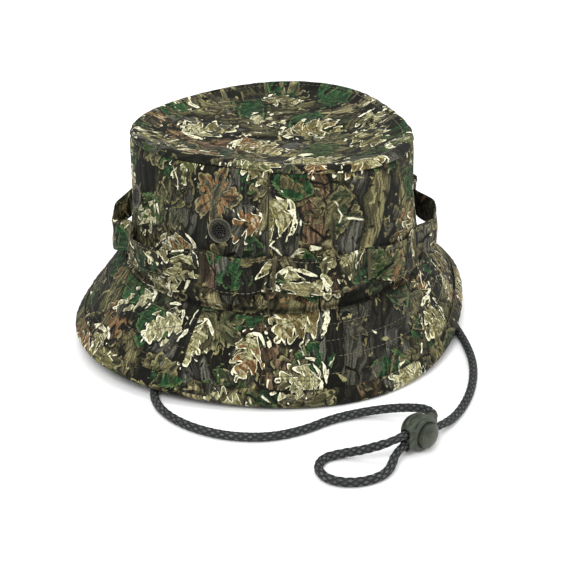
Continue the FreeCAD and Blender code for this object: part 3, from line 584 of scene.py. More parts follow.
def strokes(shader, cloth, below, tint, size, wide, seed, often):
    """Thin short strokes, the twigs, grass and edges of litter that lie over everything else."""
    bent = ragged(shader, cloth, 1.6 / size, size * 0.34)
    net = shader.mapped(bent, (1.4 / size, 0.8 / size, 1), seed, (seed, seed, 0))
    lines = shader.cells(net, "Distance", feature="DISTANCE_TO_EDGE")
    litter = shader.mapped(cloth, (1.9 / size, 1.9 / size, 1), 0.0, (seed * 3, 0, 0))
    litter = shader.noise(litter, 1.0, 3.0)
    where = shader.smooth(litter, 1 - often, 1.04 - often)
    drawn = shader.smooth(lines, wide / size, 0.4 * wide / size)
    return shader.mix(shader.math("MULTIPLY", drawn, where), below, tint)


# How much of the print's brightness is left where the painted shade is at its darkest.
PAINTED_SHADE_LEFT = 0.22


def camouflage(name, fade=0.0):
    """Printed twill cotton with leaves, bark and litter. Fade is how pale the print is."""
    shader = Shader(name)
    cloth = shader.cloth()
    grit = shader.noise(cloth, 0.9, 3.0, Roughness=0.7)
    tint = bark(shader, cloth)
    tint = strokes(shader, cloth, tint, colour(140, 134, 94), 20, 1.0, 5.3, 0.42)
    for leaf in LEAVES[:3]:
        tint = leaf_layer(shader, cloth, tint, **leaf)
    tint = strokes(shader, cloth, tint, SHADOW, 18, 1.1, 1.7, 0.46)
    for leaf in LEAVES[3:]:
        tint = leaf_layer(shader, cloth, tint, **leaf)
    tint = strokes(shader, cloth, tint, colour(216, 214, 186), 28, 0.8, 2.9, 0.36)
    tint = shader.scaled(tint, shader.smooth(grit, 0.36, 0.64, 0.68, 1.22))
    # Painted shade: the print's third number darkens the cloth in the brim's seam, just under the
    # foliage band and behind it.
    painted_shade = shader.node("ShaderNodeSeparateXYZ", {0: cloth}, "Z")
    tint = shader.scaled(tint, shader.smooth(painted_shade, 0.0, 1.0, 1.0, PAINTED_SHADE_LEFT))
    rib, normal = twill(shader, cloth)
    tint = shader.mix(0.10, tint, shader.scaled(tint, shader.math("MULTIPLY_ADD", rib, 0.5, 0.8)))
    if fade:
        tint = shader.mix(fade, tint, colour(112, 106, 84))
    shader.set(base_color=tint, roughness=shader.math("MULTIPLY_ADD", grit, 0.12, 0.80), normal=normal)
    shader.fixed("Specular IOR Level", 0.12)
    shader.fixed("Sheen Weight", 0.02)
    shader.fixed("Sheen Roughness", 0.6)
    return shader.material


def plain_cloth(name, tint, worn, pitch=TWILL_PITCH):
    """Plain twill cloth or tape: one dye that varies a little, with ribs and rubbed spots."""
    shader = Shader(name)
    cloth = shader.cloth()
    rib, normal = twill(shader, cloth, pitch, 0.0001)
    patch = shader.noise(cloth, 0.05, 4.0)
    base = shader.mix(shader.smooth(patch, 0.35, 0.75), tint, worn)
    base = shader.mix(0.35, base, shader.scaled(base, shader.math("MULTIPLY_ADD", rib, 0.35, 0.75)))
    shader.set(base_color=base, roughness=shader.math("MULTIPLY_ADD", patch, 0.1, 0.81), normal=normal)
    shader.fixed("Sheen Weight", 0.1)
    return shader.material


def object_place(shader):
    """The place on a CAD node, in millimetres, for a material that needs no print."""
    coordinates = shader.node("ShaderNodeTexCoord", {}, "Object")
    return shader.scaled(coordinates, 1 / MM)


def solid_noise(shader, place, scale, detail):
    """Noise through the whole of a solid."""
    return shader.node("ShaderNodeTexNoise", {"Vector": place, "Scale": scale, "Detail": detail})


def moulded_plastic(name, tint, worn):
    """Moulded plastic with a fine matt grain and slightly polished, paler wear."""
    shader = Shader(name)
    place = object_place(shader)
    grain = solid_noise(shader, place, 3.2, 3.0)
    patch = solid_noise(shader, place, 0.25, 3.0)
    shader.set(base_color=shader.mix(shader.smooth(patch, 0.4, 0.7), tint, worn),
               roughness=shader.math("MULTIPLY_ADD", patch, 0.25, 0.28),
               normal=shader.bump(grain, 0.00012, 0.5))
    return shader.material


def painted_metal(name, tint, bare, metallic, rough, centre=None, rings=()):
    """Metal with a worn coat: the coat is thin in patches and the surface is finely scuffed.

    Rings are the distances from the centre, in millimetres, at which a raised edge has a painted
    highlight in the bare metal's colour.
    """
    shader = Shader(name)
    place = object_place(shader)
    scuff = solid_noise(shader, shader.mapped(place, (1, 1, 6)), 1.4, 5.0)
    grain = solid_noise(shader, place, 5.0, 2.0)
    base = shader.mix(shader.smooth(scuff, 0.5, 0.72), tint, bare)
    # Painted highlight: a thin ring of the bare metal's colour round the centre at each ring's distance.
    for ring in rings:
        away = shader.vector("DISTANCE", place, tuple(float(value) for value in centre))
        off = shader.math("ABSOLUTE", shader.math("SUBTRACT", away, ring))
        base = shader.mix(shader.smooth(off, 0.2, 0.45, 0.8, 0.0), base, bare)
    shader.set(base_color=base, roughness=shader.math("MULTIPLY_ADD", scuff, 0.3, rough),
               normal=shader.bump(grain, 0.00005, 0.4))
    shader.fixed("Metallic", metallic)
    return shader.material


def braided_cord(name):
    """Round braided cord: dark yarns, each a little different, with fine fibres along them, painted
    highlights on the yarns' crowns and painted shade between them.
    """
    shader = Shader(name)
    cloth = shader.cloth()
    fibre = shader.noise(shader.mapped(cloth, (3.0, 1.2, 1)), 1.0, 3.0)
    yarn = shader.cells(shader.mapped(cloth, (0.9, 0.7, 1)))
    lightness = shader.node("ShaderNodeSeparateColor", {0: yarn})
    base = shader.mix(lightness, colour(14, 15, 15), colour(31, 34, 32))
    base = shader.mix(shader.smooth(fibre, 0.45, 0.75), base, colour(56, 60, 57))
    sides = []
    for way in (1, -1):
        slope = (YARNS / (math.pi * CORD_ACROSS), way * YARNS / BRAID_TURN, 0.0)
        turned = shader.vector("DOT_PRODUCT", cloth, slope)
        sides.append(shader.arches(turned, math.pi, "SINE"))
    # Painted highlight on the crown of each yarn, and painted shade in the valleys between the yarns.
    crown = shader.math("MINIMUM", *sides)
    painted_highlight = shader.smooth(lightness, 0.15, 0.8, 0.25, 0.8)
    painted_highlight = shader.math("MULTIPLY", shader.smooth(crown, 0.45, 0.95), painted_highlight)
    base = shader.mix(painted_highlight, base, colour(86, 91, 88))
    base = shader.mix(shader.smooth(crown, 0.0, 0.55, 0.95, 0.0), base, colour(4, 5, 5))
    shader.set(base_color=base, roughness=shader.math("MULTIPLY_ADD", fibre, 0.2, 0.55),
               normal=shader.bump(fibre, 0.0001, 0.5))
    return shader.material


def sewing_thread(name):
    """Twisted cotton thread that has faded unevenly."""
    shader = Shader(name)
    twist = shader.ribs(shader.mapped(shader.cloth(), (2.2, 0.6, 1), 0.5))
    tone = solid_noise(shader, object_place(shader), 0.06, 2.0)
    base = shader.mix(shader.smooth(tone, 0.35, 0.7), colour(116, 110, 86), colour(84, 80, 62))
    shader.set(base_color=base, roughness=shader.math("MULTIPLY_ADD", twist, 0.05, 0.6),
               normal=shader.bump(twist, 0.00006, 0.6))
    return shader.material


def pale_floor(name):
    shader = Shader(name)
    grain = shader.node("ShaderNodeTexNoise", {"Scale": 60.0, "Detail": 3.0})
    shader.set(base_color=shader.mix(grain, (0.90, 0.90, 0.90, 1), (0.93, 0.93, 0.93, 1)))
    shader.fixed("Roughness", 0.9)
    return shader.material


CAMO = camouflage("camo_twill")
REVERSE = camouflage("camo_twill_reverse", fade=0.55)
LINING_TAPE = plain_cloth("lining_tape", colour(74, 74, 56), colour(92, 90, 68))
SWEATBAND_CLOTH = plain_cloth("sweatband_cloth", colour(78, 76, 58), colour(100, 94, 72), 1.0)
INTERLINING_CLOTH = plain_cloth("interlining_cloth", colour(196, 190, 172), colour(178, 170, 150), 1.4)
LABEL_CLOTH = plain_cloth("label_cloth", colour(126, 120, 92), colour(138, 132, 104), 0.6)
THREAD = sewing_thread("thread")
CORD = braided_cord("cord_braid")
TAB_TAPE = moulded_plastic("anchor_tape", colour(64, 64, 48), colour(84, 82, 62))
LOCK_PLASTIC = moulded_plastic("lock_plastic", colour(38, 44, 34), colour(62, 68, 54))
PLUNGER_PLASTIC = moulded_plastic("plunger_plastic", colour(44, 48, 38), colour(62, 66, 54))
# Radii of the painted highlights round each vent's eyelet, in millimetres.
VENT_HIGHLIGHT_RINGS = (7.0, 3.9)
VENT_METALS = [
    painted_metal(vent + "_metal", colour(34, 34, 29), colour(112, 108, 90), 0.4, 0.4, place, VENT_HIGHLIGHT_RINGS)
    for vent, place in zip(VENTS, VENT_PLACES)
]
SCREEN_METAL = painted_metal("vent_screen", colour(26, 27, 24), colour(54, 53, 44), 0.5, 0.42)
SPRING_STEEL = painted_metal("spring_steel", colour(150, 150, 150), colour(190, 190, 188), 1.0, 0.25)

# ---------------------------------------------------------------- camera, lights and floor

# The camera looks at a point that lies this far to its right of the hat's middle, and this high.
CAMERA_TURN, CAMERA_RISE, CAMERA_DISTANCE = math.radians(-45), math.radians(25.65), 850.0
AIM_RIGHT, AIM_HEIGHT = 8.33, 15.37
LENS, SENSOR = 83.46, 36.0


def look(thing, place, along):
    """Puts a camera or a light in its place and faces it along a direction."""
    thing.location = place
    thing.rotation_mode = "QUATERNION"
    thing.rotation_quaternion = along.to_track_quat("-Z", "Y")


def make_camera():
    """A camera at the photograph's viewing angle."""
    level = math.cos(CAMERA_RISE)
    back = Vector((math.sin(CAMERA_TURN) * level, -math.cos(CAMERA_TURN) * level, math.sin(CAMERA_RISE)))
    aim = Vector((math.cos(CAMERA_TURN) * AIM_RIGHT, math.sin(CAMERA_TURN) * AIM_RIGHT, AIM_HEIGHT))
    data = bpy.data.cameras.new("camera")
    data.lens = LENS
    data.sensor_width = SENSOR
    data.clip_start, data.clip_end = 0.05, 20
    scene.camera = placed("camera", data)
    look(scene.camera, (aim + back * CAMERA_DISTANCE) * MM, -back)


def area_light(name, place, aim, wide, power):
    """A square light that faces its aim."""
    data = bpy.data.lights.new(name, "AREA")
    data.energy = power
    data.size = wide
    look(placed(name, data), place, Vector(aim) - Vector(place))


# Each light's name, place, aim and width in metres, and power in watts.
LIGHTS = [
    ("key", (-1.1, -0.7, 1.5), (0, 0, 0.05), 0.9, 22),
    ("fill", (1.0, -1.2, 1.1), (0, 0, 0.05), 1.2, 9),
    ("top", (0.2, 0.3, 1.8), (0, 0, 0.1), 1.4, 12),
]
SKY_STRENGTH = 0.85
# Half the floor's width, in millimetres, and the gap under the hat, in metres.
FLOOR_HALF, FLOOR_GAP = 4000.0, 0.0002


def make_studio():
    """Plain pale surroundings, three soft lights and a pale floor just under the hat."""
    world = bpy.data.worlds.new("studio")
    world.use_nodes = True
    backdrop = world.node_tree.nodes["Background"].inputs
    backdrop[0].default_value = (1.0, 1.0, 1.0, 1.0)
    backdrop[1].default_value = SKY_STRENGTH
    scene.world = world
    for light in LIGHTS:
        area_light(*light)
    corners = np.array([(-1, -1, 0), (1, -1, 0), (1, 1, 0), (-1, 1, 0)])
    mesh = bare_mesh("floor", corners * FLOOR_HALF, [(0, 1, 2, 3)])
    mesh.materials.append(pale_floor("floor"))
    floor = placed("floor", mesh)
    floor.location.z = cad_low.z - FLOOR_GAP


make_camera()
make_studio()

# ---------------------------------------------------------------- chin cord

# How far out the tabs are that hold the cord's ends, and how high the cord leaves them.
TAB = abs(np.mean([corner[0] for corner in box_mm("cord_anchor_left")]))
OUTLET = box_mm("cord_anchor_left")[0][2]
# The height of the cord's middle where it lies on the floor.
LAID = CORD_ACROSS / 2
# The middle of the cord lock, and the heights of the two strands in it.
LOCK = np.array([-61.0, -171.5, 9.95])
UPPER, LOWER = LOCK[2] + 3.2, LOCK[2] - 3.2

# The route, in millimetres: from the tab at the left ear under the brim's edge, along the floor in
# front of the hat, through the lock, round the loop, through the lock again and back. Points without
# a height lie on the floor.
ROUTE = [(*point, LAID)[:3] for point in [
    (-TAB, 0, OUTLET), (-TAB, 0, 24), (-87.5, -7, 9), (-98, -15, LAID + 0.4), (-112, -21),
    (-125.5, -29), (-134, -43), (-137, -59), (-135, -77), (-127.5, -95), (-113, -111),
    (-94.5, -119), (-76, -121.5), (-61, -128.5, LAID + 0.7), (-51, -139, 6), (-45.5, -151, 9.6),
    (-43.5, -162.5, 12.6), (LOCK[0] + 14, LOCK[1], UPPER), (LOCK[0], LOCK[1] + 0.2, UPPER),
    (LOCK[0] - 20, LOCK[1], UPPER - 0.1), (-90.5, -160, 6.8), (-97, -149.5, LAID + 0.3),
    (-107, -145), (-116.5, -149.5), (-120, -159.5), (-115.5, -169.5), (-105.5, -176.5),
    (-92.5, -178.5, LAID + 0.2), (LOCK[0] - 19, LOCK[1] - 0.1, LOWER - 0.1),
    (LOCK[0], LOCK[1] + 0.1, LOWER), (LOCK[0] + 16, LOCK[1] - 0.2, LOWER - 0.2),
    (-31, -169.5, LAID + 0.8), (-16, -165), (0, -158), (17, -147.5), (32.5, -134.5), (46, -119),
    (58, -102), (70, -84), (79, -64), (84.5, -43), (86.5, -22, LAID + 0.3), (86.5, -7, 9.5),
    (TAB, 0, 24), (TAB, 0, OUTLET),
]]


def route_line():
    """The points of the cord's smooth centreline, in millimetres."""
    data = bpy.data.curves.new("cord_route", "CURVE")
    data.dimensions = "3D"
    spline = data.splines.new("NURBS")
    spline.points.add(len(ROUTE) - 1)
    for point, place in zip(spline.points, ROUTE):
        point.co = (*(float(value) * MM for value in place), 1.0)
    spline.order_u = 3
    spline.use_endpoint_u = True
    spline.resolution_u = 16
    route = placed("cord_route", data)
    bpy.context.view_layer.update()
    line = mesh_points(bpy.data.meshes.new_from_object(route)) / MM
    bpy.data.objects.remove(route)
    return line


# How deep the braid's relief is.
BRAID_RELIEF = 0.55
# How much the strands are squeezed in the lock, and how far that reaches along and beside its middle.
LOCK_SQUEEZE, LOCK_REACH, LOCK_SIDE = 0.30, 24.5, 7.0


def braid_height(around, along):
    """Height of the braid's surface, from 0 to 1, where two sets of yarns pass over each other."""
    first = YARNS * (around / (2 * math.pi) + along / BRAID_TURN)
    second = YARNS * (around / (2 * math.pi) - along / BRAID_TURN)
    over = (np.floor(first) + np.floor(second)) % 2
    first = 2 * (first % 1) - 1
    second = 2 * (second % 1) - 1
    across = np.where(over > 0.5, first, second)
    ahead = np.where(over > 0.5, second, first)
    return np.sqrt(np.clip(1 - across**2, 0, 1)) * (1 - 0.45 * ahead**4)


def make_cord():
    """The chin cord as a tube with the braid's relief, laid along its route."""
    line, ahead, stops = even_steps(route_line(), 0.42)
    side = np.zeros_like(line)
    side[0] = (0, 1, 0)
    for index in range(1, len(line)):
        carried = side[index - 1] - ahead[index] * np.dot(side[index - 1], ahead[index])
        side[index] = carried / np.linalg.norm(carried)
    up = np.cross(ahead, side)
    spokes = 32
    around = np.arange(spokes) * 2 * math.pi / spokes
    height = braid_height(around[None, :], stops[:, None])
    off = np.abs(line - LOCK)
    squeezed = LOCK_SQUEEZE * ease((LOCK_REACH - off[:, 0]) / 3)
    squeezed = squeezed * (np.linalg.norm(off[:, 1:], axis=1) < LOCK_SIDE)
    radius = CORD_ACROSS / 2 - BRAID_RELIEF * (1 - height) - squeezed[:, None]
    points = tube(line, side, up, radius[..., None], spokes)
    flat = joined(around[None, :] * CORD_ACROSS / 2, stops[:, None])
    rings = len(line)
    faces = grid_faces(rings, spokes, True, flip=True).tolist()
    faces.append(list(range(spokes)))
    faces.append([rings * spokes - 1 - index for index in range(spokes)])
    cord = new_object("chin_cord_braid", points, faces, [CORD], flat.reshape(-1, 2), smooth=70)
    finished(cord, "cord_braid", "chin_cord")


# ---------------------------------------------------------------- cord lock

# The lock as it is moulded: its outside is rounded off to a ball of this radius round its middle.
BALL = 10.0
# The collars round the strands are no wider than this to each side, and keep their shape.
COLLAR_WIDE = 3.0
# Grooves moulded round the barrel: place along its axis, depth and width. Only its outside has them,
# further from the axis than the start given here, and they stop at the collars.
GROOVES = [(-2.5, 0.9, 0.55), (2.6, 0.8, 0.6)]
GROOVES_START, COLLAR_START = 8.0, 9.7
# On the loop's side the collars are drawn out into tubes, from this place on, by this factor.
TUBE_FROM, TUBE_STRETCH = -8.6, 1.78
LOCK_VOXEL = 0.3
# The radius of the plunger's stem, and how far from the middle it comes out of the barrel.
STEM, BARREL_MOUTH = 6.9, 5.6


def node_mesh(name, voxel=None):
    """The points of a CAD node, in millimetres, and its faces, cut finely if a voxel size is given."""
    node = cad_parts[name]
    mesh = node.data.copy()
    mesh.transform(node.matrix_world)
    mesh.transform(Matrix.Scale(1 / MM, 4))
    copy = placed(name + "_copy", mesh)
    weld = copy.modifiers.new("weld", "WELD")
    weld.merge_threshold = 0.001
    if voxel:
        remesh = copy.modifiers.new("remesh", "REMESH")
        remesh.mode = "VOXEL"
        remesh.voxel_size = voxel
    bpy.context.view_layer.update()
    final = bpy.data.meshes.new_from_object(copy.evaluated_get(bpy.context.evaluated_depsgraph_get()))
    bpy.data.objects.remove(copy)
    return mesh_points(final), [list(face.vertices) for face in final.polygons]


def balled(off, amount):
    """Places from the lock's middle, drawn in to the ball by an amount from 0 to 1 if outside it."""
    away = np.linalg.norm(off, axis=1)
    share = np.where(away > BALL, BALL / away, 1.0)
    return off * (1 + (share - 1) * amount)[:, None]


def barrel_shape(off):
    """The barrel, rounded off to the ball, with grooves and with its collars drawn out on one side."""
    off = balled(off, ease((np.abs(off[:, 1]) - COLLAR_WIDE) / 2))
    round_axis = np.hypot(off[:, 0], off[:, 2])
    outside = ease((round_axis - GROOVES_START) / 0.5)
    groove = sum(deep * bell(off[:, 1] - place, wide) for place, deep, wide in GROOVES)
    groove = groove * outside * (np.abs(off[:, 0]) < COLLAR_START)
    scale = (round_axis - groove) / np.maximum(round_axis, 0.001)
    off = off * np.stack([scale, np.ones(len(off)), scale], axis=1)
    tube = (np.abs(off[:, 1]) < COLLAR_WIDE + 1.2) & (off[:, 0] < TUBE_FROM)
    off[:, 0] = np.where(tube, TUBE_FROM + (off[:, 0] - TUBE_FROM) * TUBE_STRETCH, off[:, 0])
    return off


def plunger_shape(off):
    """The button is a dome no wider than the stem, so that it ends the ball."""
    round_axis = np.hypot(off[:, 0], off[:, 2])
    button = off[:, 1] < -BARREL_MOUTH
    scale = np.where(button & (round_axis > STEM), STEM / np.maximum(round_axis, 0.001), 1.0)
    off = off * np.stack([scale, np.ones(len(off)), scale], axis=1)
    return balled(off, np.where(button, 1.0, 0.0))


def make_lock():
    """The lock's three pieces as shown: barrel and plunger are rounded off, and the spring is copied
    from the CAD model.
    """
    made = []
    for name, shape, material, slot, body in (
        ("cord_lock_barrel", barrel_shape, LOCK_PLASTIC, "lock_plastic", "cord_lock"),
        ("cord_lock_plunger", plunger_shape, PLUNGER_PLASTIC, "plunger_plastic", "lock_plunger"),
    ):
        points, faces = node_mesh(name, LOCK_VOXEL)
        points = LOCK + shape(points - LOCK)
        piece = new_object(name + "_moulding", points, faces, [material], smooth=50)
        made.append(finished(piece, slot, name, body=body))
    points, faces = node_mesh("cord_lock_spring")
    spring = new_object("cord_lock_spring_wire", points, faces, [SPRING_STEEL])
    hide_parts("cord_lock_spring")
    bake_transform(spring)
    return made + [spring]


LOCK_PIECES = make_lock()
make_cord()

for names, material in (
    (("cord_anchor_left", "cord_anchor_right"), TAB_TAPE),
    ([vent + "_screen" for vent in VENTS], SCREEN_METAL),
    *((((vent + "_eyelet", vent + "_washer"), metal)) for vent, metal in zip(VENTS, VENT_METALS)),
):
    for name in names:
        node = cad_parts[name]
        node.data.materials.clear()
        node.data.materials.append(material)

# ---------------------------------------------------------------- crown


def wall_radius(bearing, height):
    """Radius of the CAD model's crown wall."""
    rise = (height - WALL_LOW) / (WALL_HIGH - WALL_LOW)
    half_x = LOW_HALF[0] + (HIGH_HALF[0] - LOW_HALF[0]) * rise
    half_y = LOW_HALF[1] + (HIGH_HALF[1] - LOW_HALF[1]) * rise
    angle = np.radians(bearing)
    return 1 / np.hypot(np.sin(angle) / half_x, np.cos(angle) / half_y)


def top_outline(bearing):
    """Radius of the soft, slightly cornered outline that the crown's top has taken."""
    angle = np.radians(bearing)
    return (82.3 + 1.9 * np.sin(angle) + 4.9 * np.cos(2 * angle) + 0.4 * np.sin(2 * angle)
            + 5.9 * np.cos(3 * angle) - 1.2 * np.sin(3 * angle))


def rim_height(bearing):
    """Height of the crown's rim, which tips a little."""
    angle = np.radians(bearing)
    return CROWN_HEIGHT - 0.6 + 2.2 * np.cos(angle) + 1.3 * np.sin(angle)


# The wall ends this far below the rim. Its grid has this many points round and up.
RIM_DROP = 4.2
AROUND, UPWARD = 360, 72


def settle(points, faces, pinned, growth, frames, bending, stiffness):
    """Lets cloth settle: a mesh of slightly more cloth than its pinned outline has room for."""
    cloth = placed("settling", bare_mesh("settling", points, faces))
    group = cloth.vertex_groups.new(name="sewn")
    group.add([int(index) for index in pinned], 1.0, "REPLACE")
    modifier = cloth.modifiers.new("cloth", "CLOTH")
    settings = modifier.settings
    settings.vertex_group_mass = "sewn"
    settings.quality = 6
    settings.mass = 0.3
    settings.tension_stiffness = stiffness
    settings.compression_stiffness = stiffness
    settings.shear_stiffness = stiffness / 2
    settings.bending_stiffness = bending
    settings.shrink_min = -growth
    settings.effector_weights.gravity = 1.0
    modifier.point_cache.frame_start = 1
    modifier.point_cache.frame_end = frames
    for step in range(1, frames + 1):
        scene.frame_set(step)
    shown = cloth.evaluated_get(bpy.context.evaluated_depsgraph_get())
    settled = mesh_points(shown.data) / MM
    bpy.data.objects.remove(cloth)
    scene.frame_set(1)
    return settled


def stitch_bearings():
    """Bearings of the ten bars of stitches, and the first again a full turn on."""
    bearings = list(STITCH_BEARINGS)
    left = 360 + bearings[0] - bearings[-1]
    behind = range(1, LOOPS_BEHIND + 1)
    return bearings + [bearings[-1] + left * share / LOOPS_BEHIND for share in behind]


def band_bow(bearing, start, end):
    """How far the band stands off the crown between two stitches, from 0 to 1."""
    middle = wall_radius(bearing, BAND_MIDDLE)
    land = np.degrees(BAND_LAND / middle)
    shoulder = BAND_SHOULDER * (end - start)
    return ease((bearing - start - land) / shoulder) * ease((end - land - bearing) / shoulder)


def band_dip(bearing):
    """How far the band lies below its place in the CAD model, in millimetres."""
    dip = 0.0
    for middle, drop, width in BAND_DIPS:
        dip = dip + drop * bell(turn_from(bearing, middle), width)
    return dip


# The wall's cloth lies as it was cut near a vent and is held close to a vent and a bar of stitches.
VENT_CALM, VENT_HELD, BAR_HELD = 15.0, 9.0, 2.0
# Settling moves the wall by no more than this, in and out.
MOST_IN, MOST_OUT = -2.6, 2.0
# How high the cloth puckers at the top seam, above the brim's seam and beside an upright seam.
TOP_PUCKER, LOW_PUCKER, SEAM_PUCKER = 0.28, 0.22, 0.3
# How far those seams draw the cloth in, and how far from the seam's line that is still felt.
TOP_TUCK, LOW_TUCK, SEAM_TUCK = (1.8, 1.6), (1.9, 1.7), (1.0, 1.1)
# The wall's size for its print and its waves: the radius that it is measured round at, and its height.
WALL_ROUND, WALL_TALL = 86.0, 82.0


def loop_bows(bearing, *values):
    """For each loop of the band: which bearings are its own, its bow at them, and its own values."""
    bearings = stitch_bearings()
    for start, end, *own in zip(bearings[:-1], bearings[1:], *values):
        along = start + (bearing - start) % 360
        yield (along < end, np.where(along < end, band_bow(along, start, end), 0), *own)


def make_wall():
    """The crown wall's outer surface as a grid: rows go up, columns go round from the front seam."""
    bearing = (PANEL_SEAM + 360.0 * np.arange(AROUND) / AROUND)[None, :]
    share = np.linspace(0, 1, UPWARD)[:, None]
    top = rim_height(bearing) - RIM_DROP
    height = WALL_LOW + (top - WALL_LOW) * share
    rise = np.clip((height - SEAM_HEIGHT) / (CROWN_HEIGHT - SEAM_HEIGHT), 0, 1)
    spread = top_outline(bearing) - wall_radius(bearing, CROWN_HEIGHT)
    near_vent = np.zeros_like(height * bearing)
    place = polar(bearing, wall_radius(bearing, height), height)
    for vent in VENT_PLACES:
        near_vent = np.maximum(near_vent, bell(np.linalg.norm(place - vent, axis=-1), VENT_CALM))
    radius = wall_radius(bearing, height) + spread * rise**2 * (1 - near_vent)
    points = polar(bearing, radius, height)
    held = np.zeros(points.shape[:2], dtype=bool)
    held[0] = held[-1] = True
    held |= np.broadcast_to(height < SEAM_HEIGHT + 1, held.shape)
    for vent in VENT_PLACES:
        held |= np.linalg.norm(points - vent, axis=-1) < VENT_HELD
    for stitch in stitch_bearings()[:-1]:
        off = np.abs(turn_from(bearing, stitch)) * math.radians(1) * 90
        held |= (off < BAR_HELD) & (height > BAND_LOW) & (height < BAND_HIGH)
    faces = grid_faces(UPWARD, AROUND, True)
    settled = settle(points.reshape(-1, 3), faces, np.flatnonzero(held), 0.012, 22, 0.8, 12.0)
    moved = settled.reshape(points.shape) - points
    outward = outwards(points)
    off = np.clip(np.sum(moved * outward, axis=-1), MOST_IN, MOST_OUT)
    room = np.zeros_like(off)
    for _, bow, share_of_bow, lean in loop_bows(bearing, LOOP_BOWS, LOOP_LEANS):
        room = np.maximum(room, bow * (BAND_BOW * share_of_bow - 1.5 - abs(lean)))
    level = height + band_dip(bearing)
    by_band = ease((level - BAND_LOW + 6) / 4) * ease((BAND_HIGH + 6 - level) / 4)
    behind_band = off * (1 - by_band) + np.minimum(off, room) * by_band
    off = np.where(by_band > 0, np.minimum(off, behind_band), off)
    arc = np.radians(bearing) * WALL_ROUND
    pucker = waves(5, arc, height * 0.6, (7, 16)) * TOP_PUCKER * bell(top - height, 11.0)
    near_brim = LOW_PUCKER * bell(height - SEAM_HEIGHT, 9.0) * (height > SEAM_HEIGHT)
    pucker = pucker + waves(6, arc, height * 0.5, (9, 22)) * near_brim
    seam_off = (np.abs((bearing - PANEL_SEAM + 90) % 180 - 90)) * math.radians(1) * WALL_ROUND
    pucker = pucker + waves(7, arc, height, (8, 15)) * SEAM_PUCKER * bell(seam_off, 9.0)
    pucker = pucker - SEAM_TUCK[0] * bell(seam_off, SEAM_TUCK[1])
    pucker = pucker * (1 - np.clip(near_vent * 1.6, 0, 1))
    tuck = -TOP_TUCK[0] * bell(top - height, TOP_TUCK[1])
    tuck = tuck - LOW_TUCK[0] * bell(height - SEAM_HEIGHT - 1.6, LOW_TUCK[1])
    return points + outward * (off + pucker + tuck)[..., None]


WALL = make_wall()
WALL_NORMALS = grid_normals(WALL, True)


def on_wall(bearing, share, inset):
    """Points on the crown wall, inset into it, read from the grid between its points."""
    column = ((bearing - PANEL_SEAM) % 360) * AROUND / 360.0
    row = np.clip(share, 0, 1) * (UPWARD - 1)
    column, row = np.broadcast_arrays(column, row)
    left = np.floor(column).astype(int) % AROUND
    right = (left + 1) % AROUND
    low = np.minimum(np.floor(row).astype(int), UPWARD - 2)
    across = (column - np.floor(column))[..., None]
    up = (row - low)[..., None]

    def blend(grid):
        lower = grid[low, left] * (1 - across) + grid[low, right] * across
        upper = grid[low + 1, left] * (1 - across) + grid[low + 1, right] * across
        return lower * (1 - up) + upper * up

    normals = unit(blend(WALL_NORMALS))
    return blend(WALL) - normals * np.asarray(inset)[..., None], normals


def share_at(bearing, height):
    """The share of the wall's height at which it reaches a height in millimetres."""
    return (height - WALL_LOW) / (rim_height(bearing) - RIM_DROP - WALL_LOW)


# Painted shade reaches this far from the brim's seam and from the band's edge, and this far up behind
# the band.
SEAM_SHADE_REACH, BAND_EDGE_SHADE_REACH, BAND_COVER = 1.3, 1.5, 12.0


def wall_painted_shade(bearing, height):
    """How much painted shade darkens the crown wall: in the brim's seam, just under the foliage band's
    lower edge and up behind the band.
    """
    painted_shade = 0.9 * bell(height - SEAM_HEIGHT - SEAM_SHADE_REACH, SEAM_SHADE_REACH)
    for here, bow, drop, raised in loop_bows(bearing, LOOP_DROPS, LOOP_RAISES):
        edge = BAND_LOW - band_dip(bearing) - drop * bow + raised
        behind = ease((edge + BAND_COVER - height) / 4)
        below = np.where(height < edge, bell(edge - height, BAND_EDGE_SHADE_REACH), behind)
        painted_shade = np.maximum(painted_shade, np.where(here, below * ease(bow / 0.3), 0))
    return painted_shade


VENT_HOLE = 5.0
SWEATBAND_INSET, SWEATBAND = CLOTH + 0.15, 1.0
# How thick the lining tapes are, how many degrees an upright one reaches to each side, and the gap
# in degrees between a panel's edge and its seam.
LINING, TAPE_TURN, PANEL_GAP = 0.8, 4.1, 0.35


def wall_piece(name, start, end, low, high, inset, thick, steps, rows, materials, slot, shift=(0, 0)):
    """A strip of cloth that follows the crown wall between two bearings and two heights."""
    bearing = np.linspace(start, end, steps)[None, :]
    share = np.linspace(0, 1, rows)[:, None]
    if callable(low):
        bottom, top = low(bearing), high(bearing)
    else:
        bottom, top = share_at(bearing, low), share_at(bearing, high)
    level = bottom + (top - bottom) * share
    outer, _ = on_wall(bearing, level, inset)
    inner, _ = on_wall(bearing, level, inset + thick)
    # Painted shade in the brim's seam and under and behind the foliage band, carried as the print's
    # third number.
    painted_shade = wall_painted_shade(bearing, outer[..., 2])
    round_wall = np.radians(bearing) * WALL_ROUND
    flat = joined(round_wall + shift[0], level * WALL_TALL + shift[1], painted_shade)
    holes = [(vent, VENT_HOLE) for vent in VENT_PLACES]
    piece = shell(name + "_cloth", outer, inner, flat, materials, holes=holes)
    finished(piece, slot, name)


def whole_share(share):
    """The same share of the wall's height at every bearing."""
    return lambda bearing: 0 * bearing + share


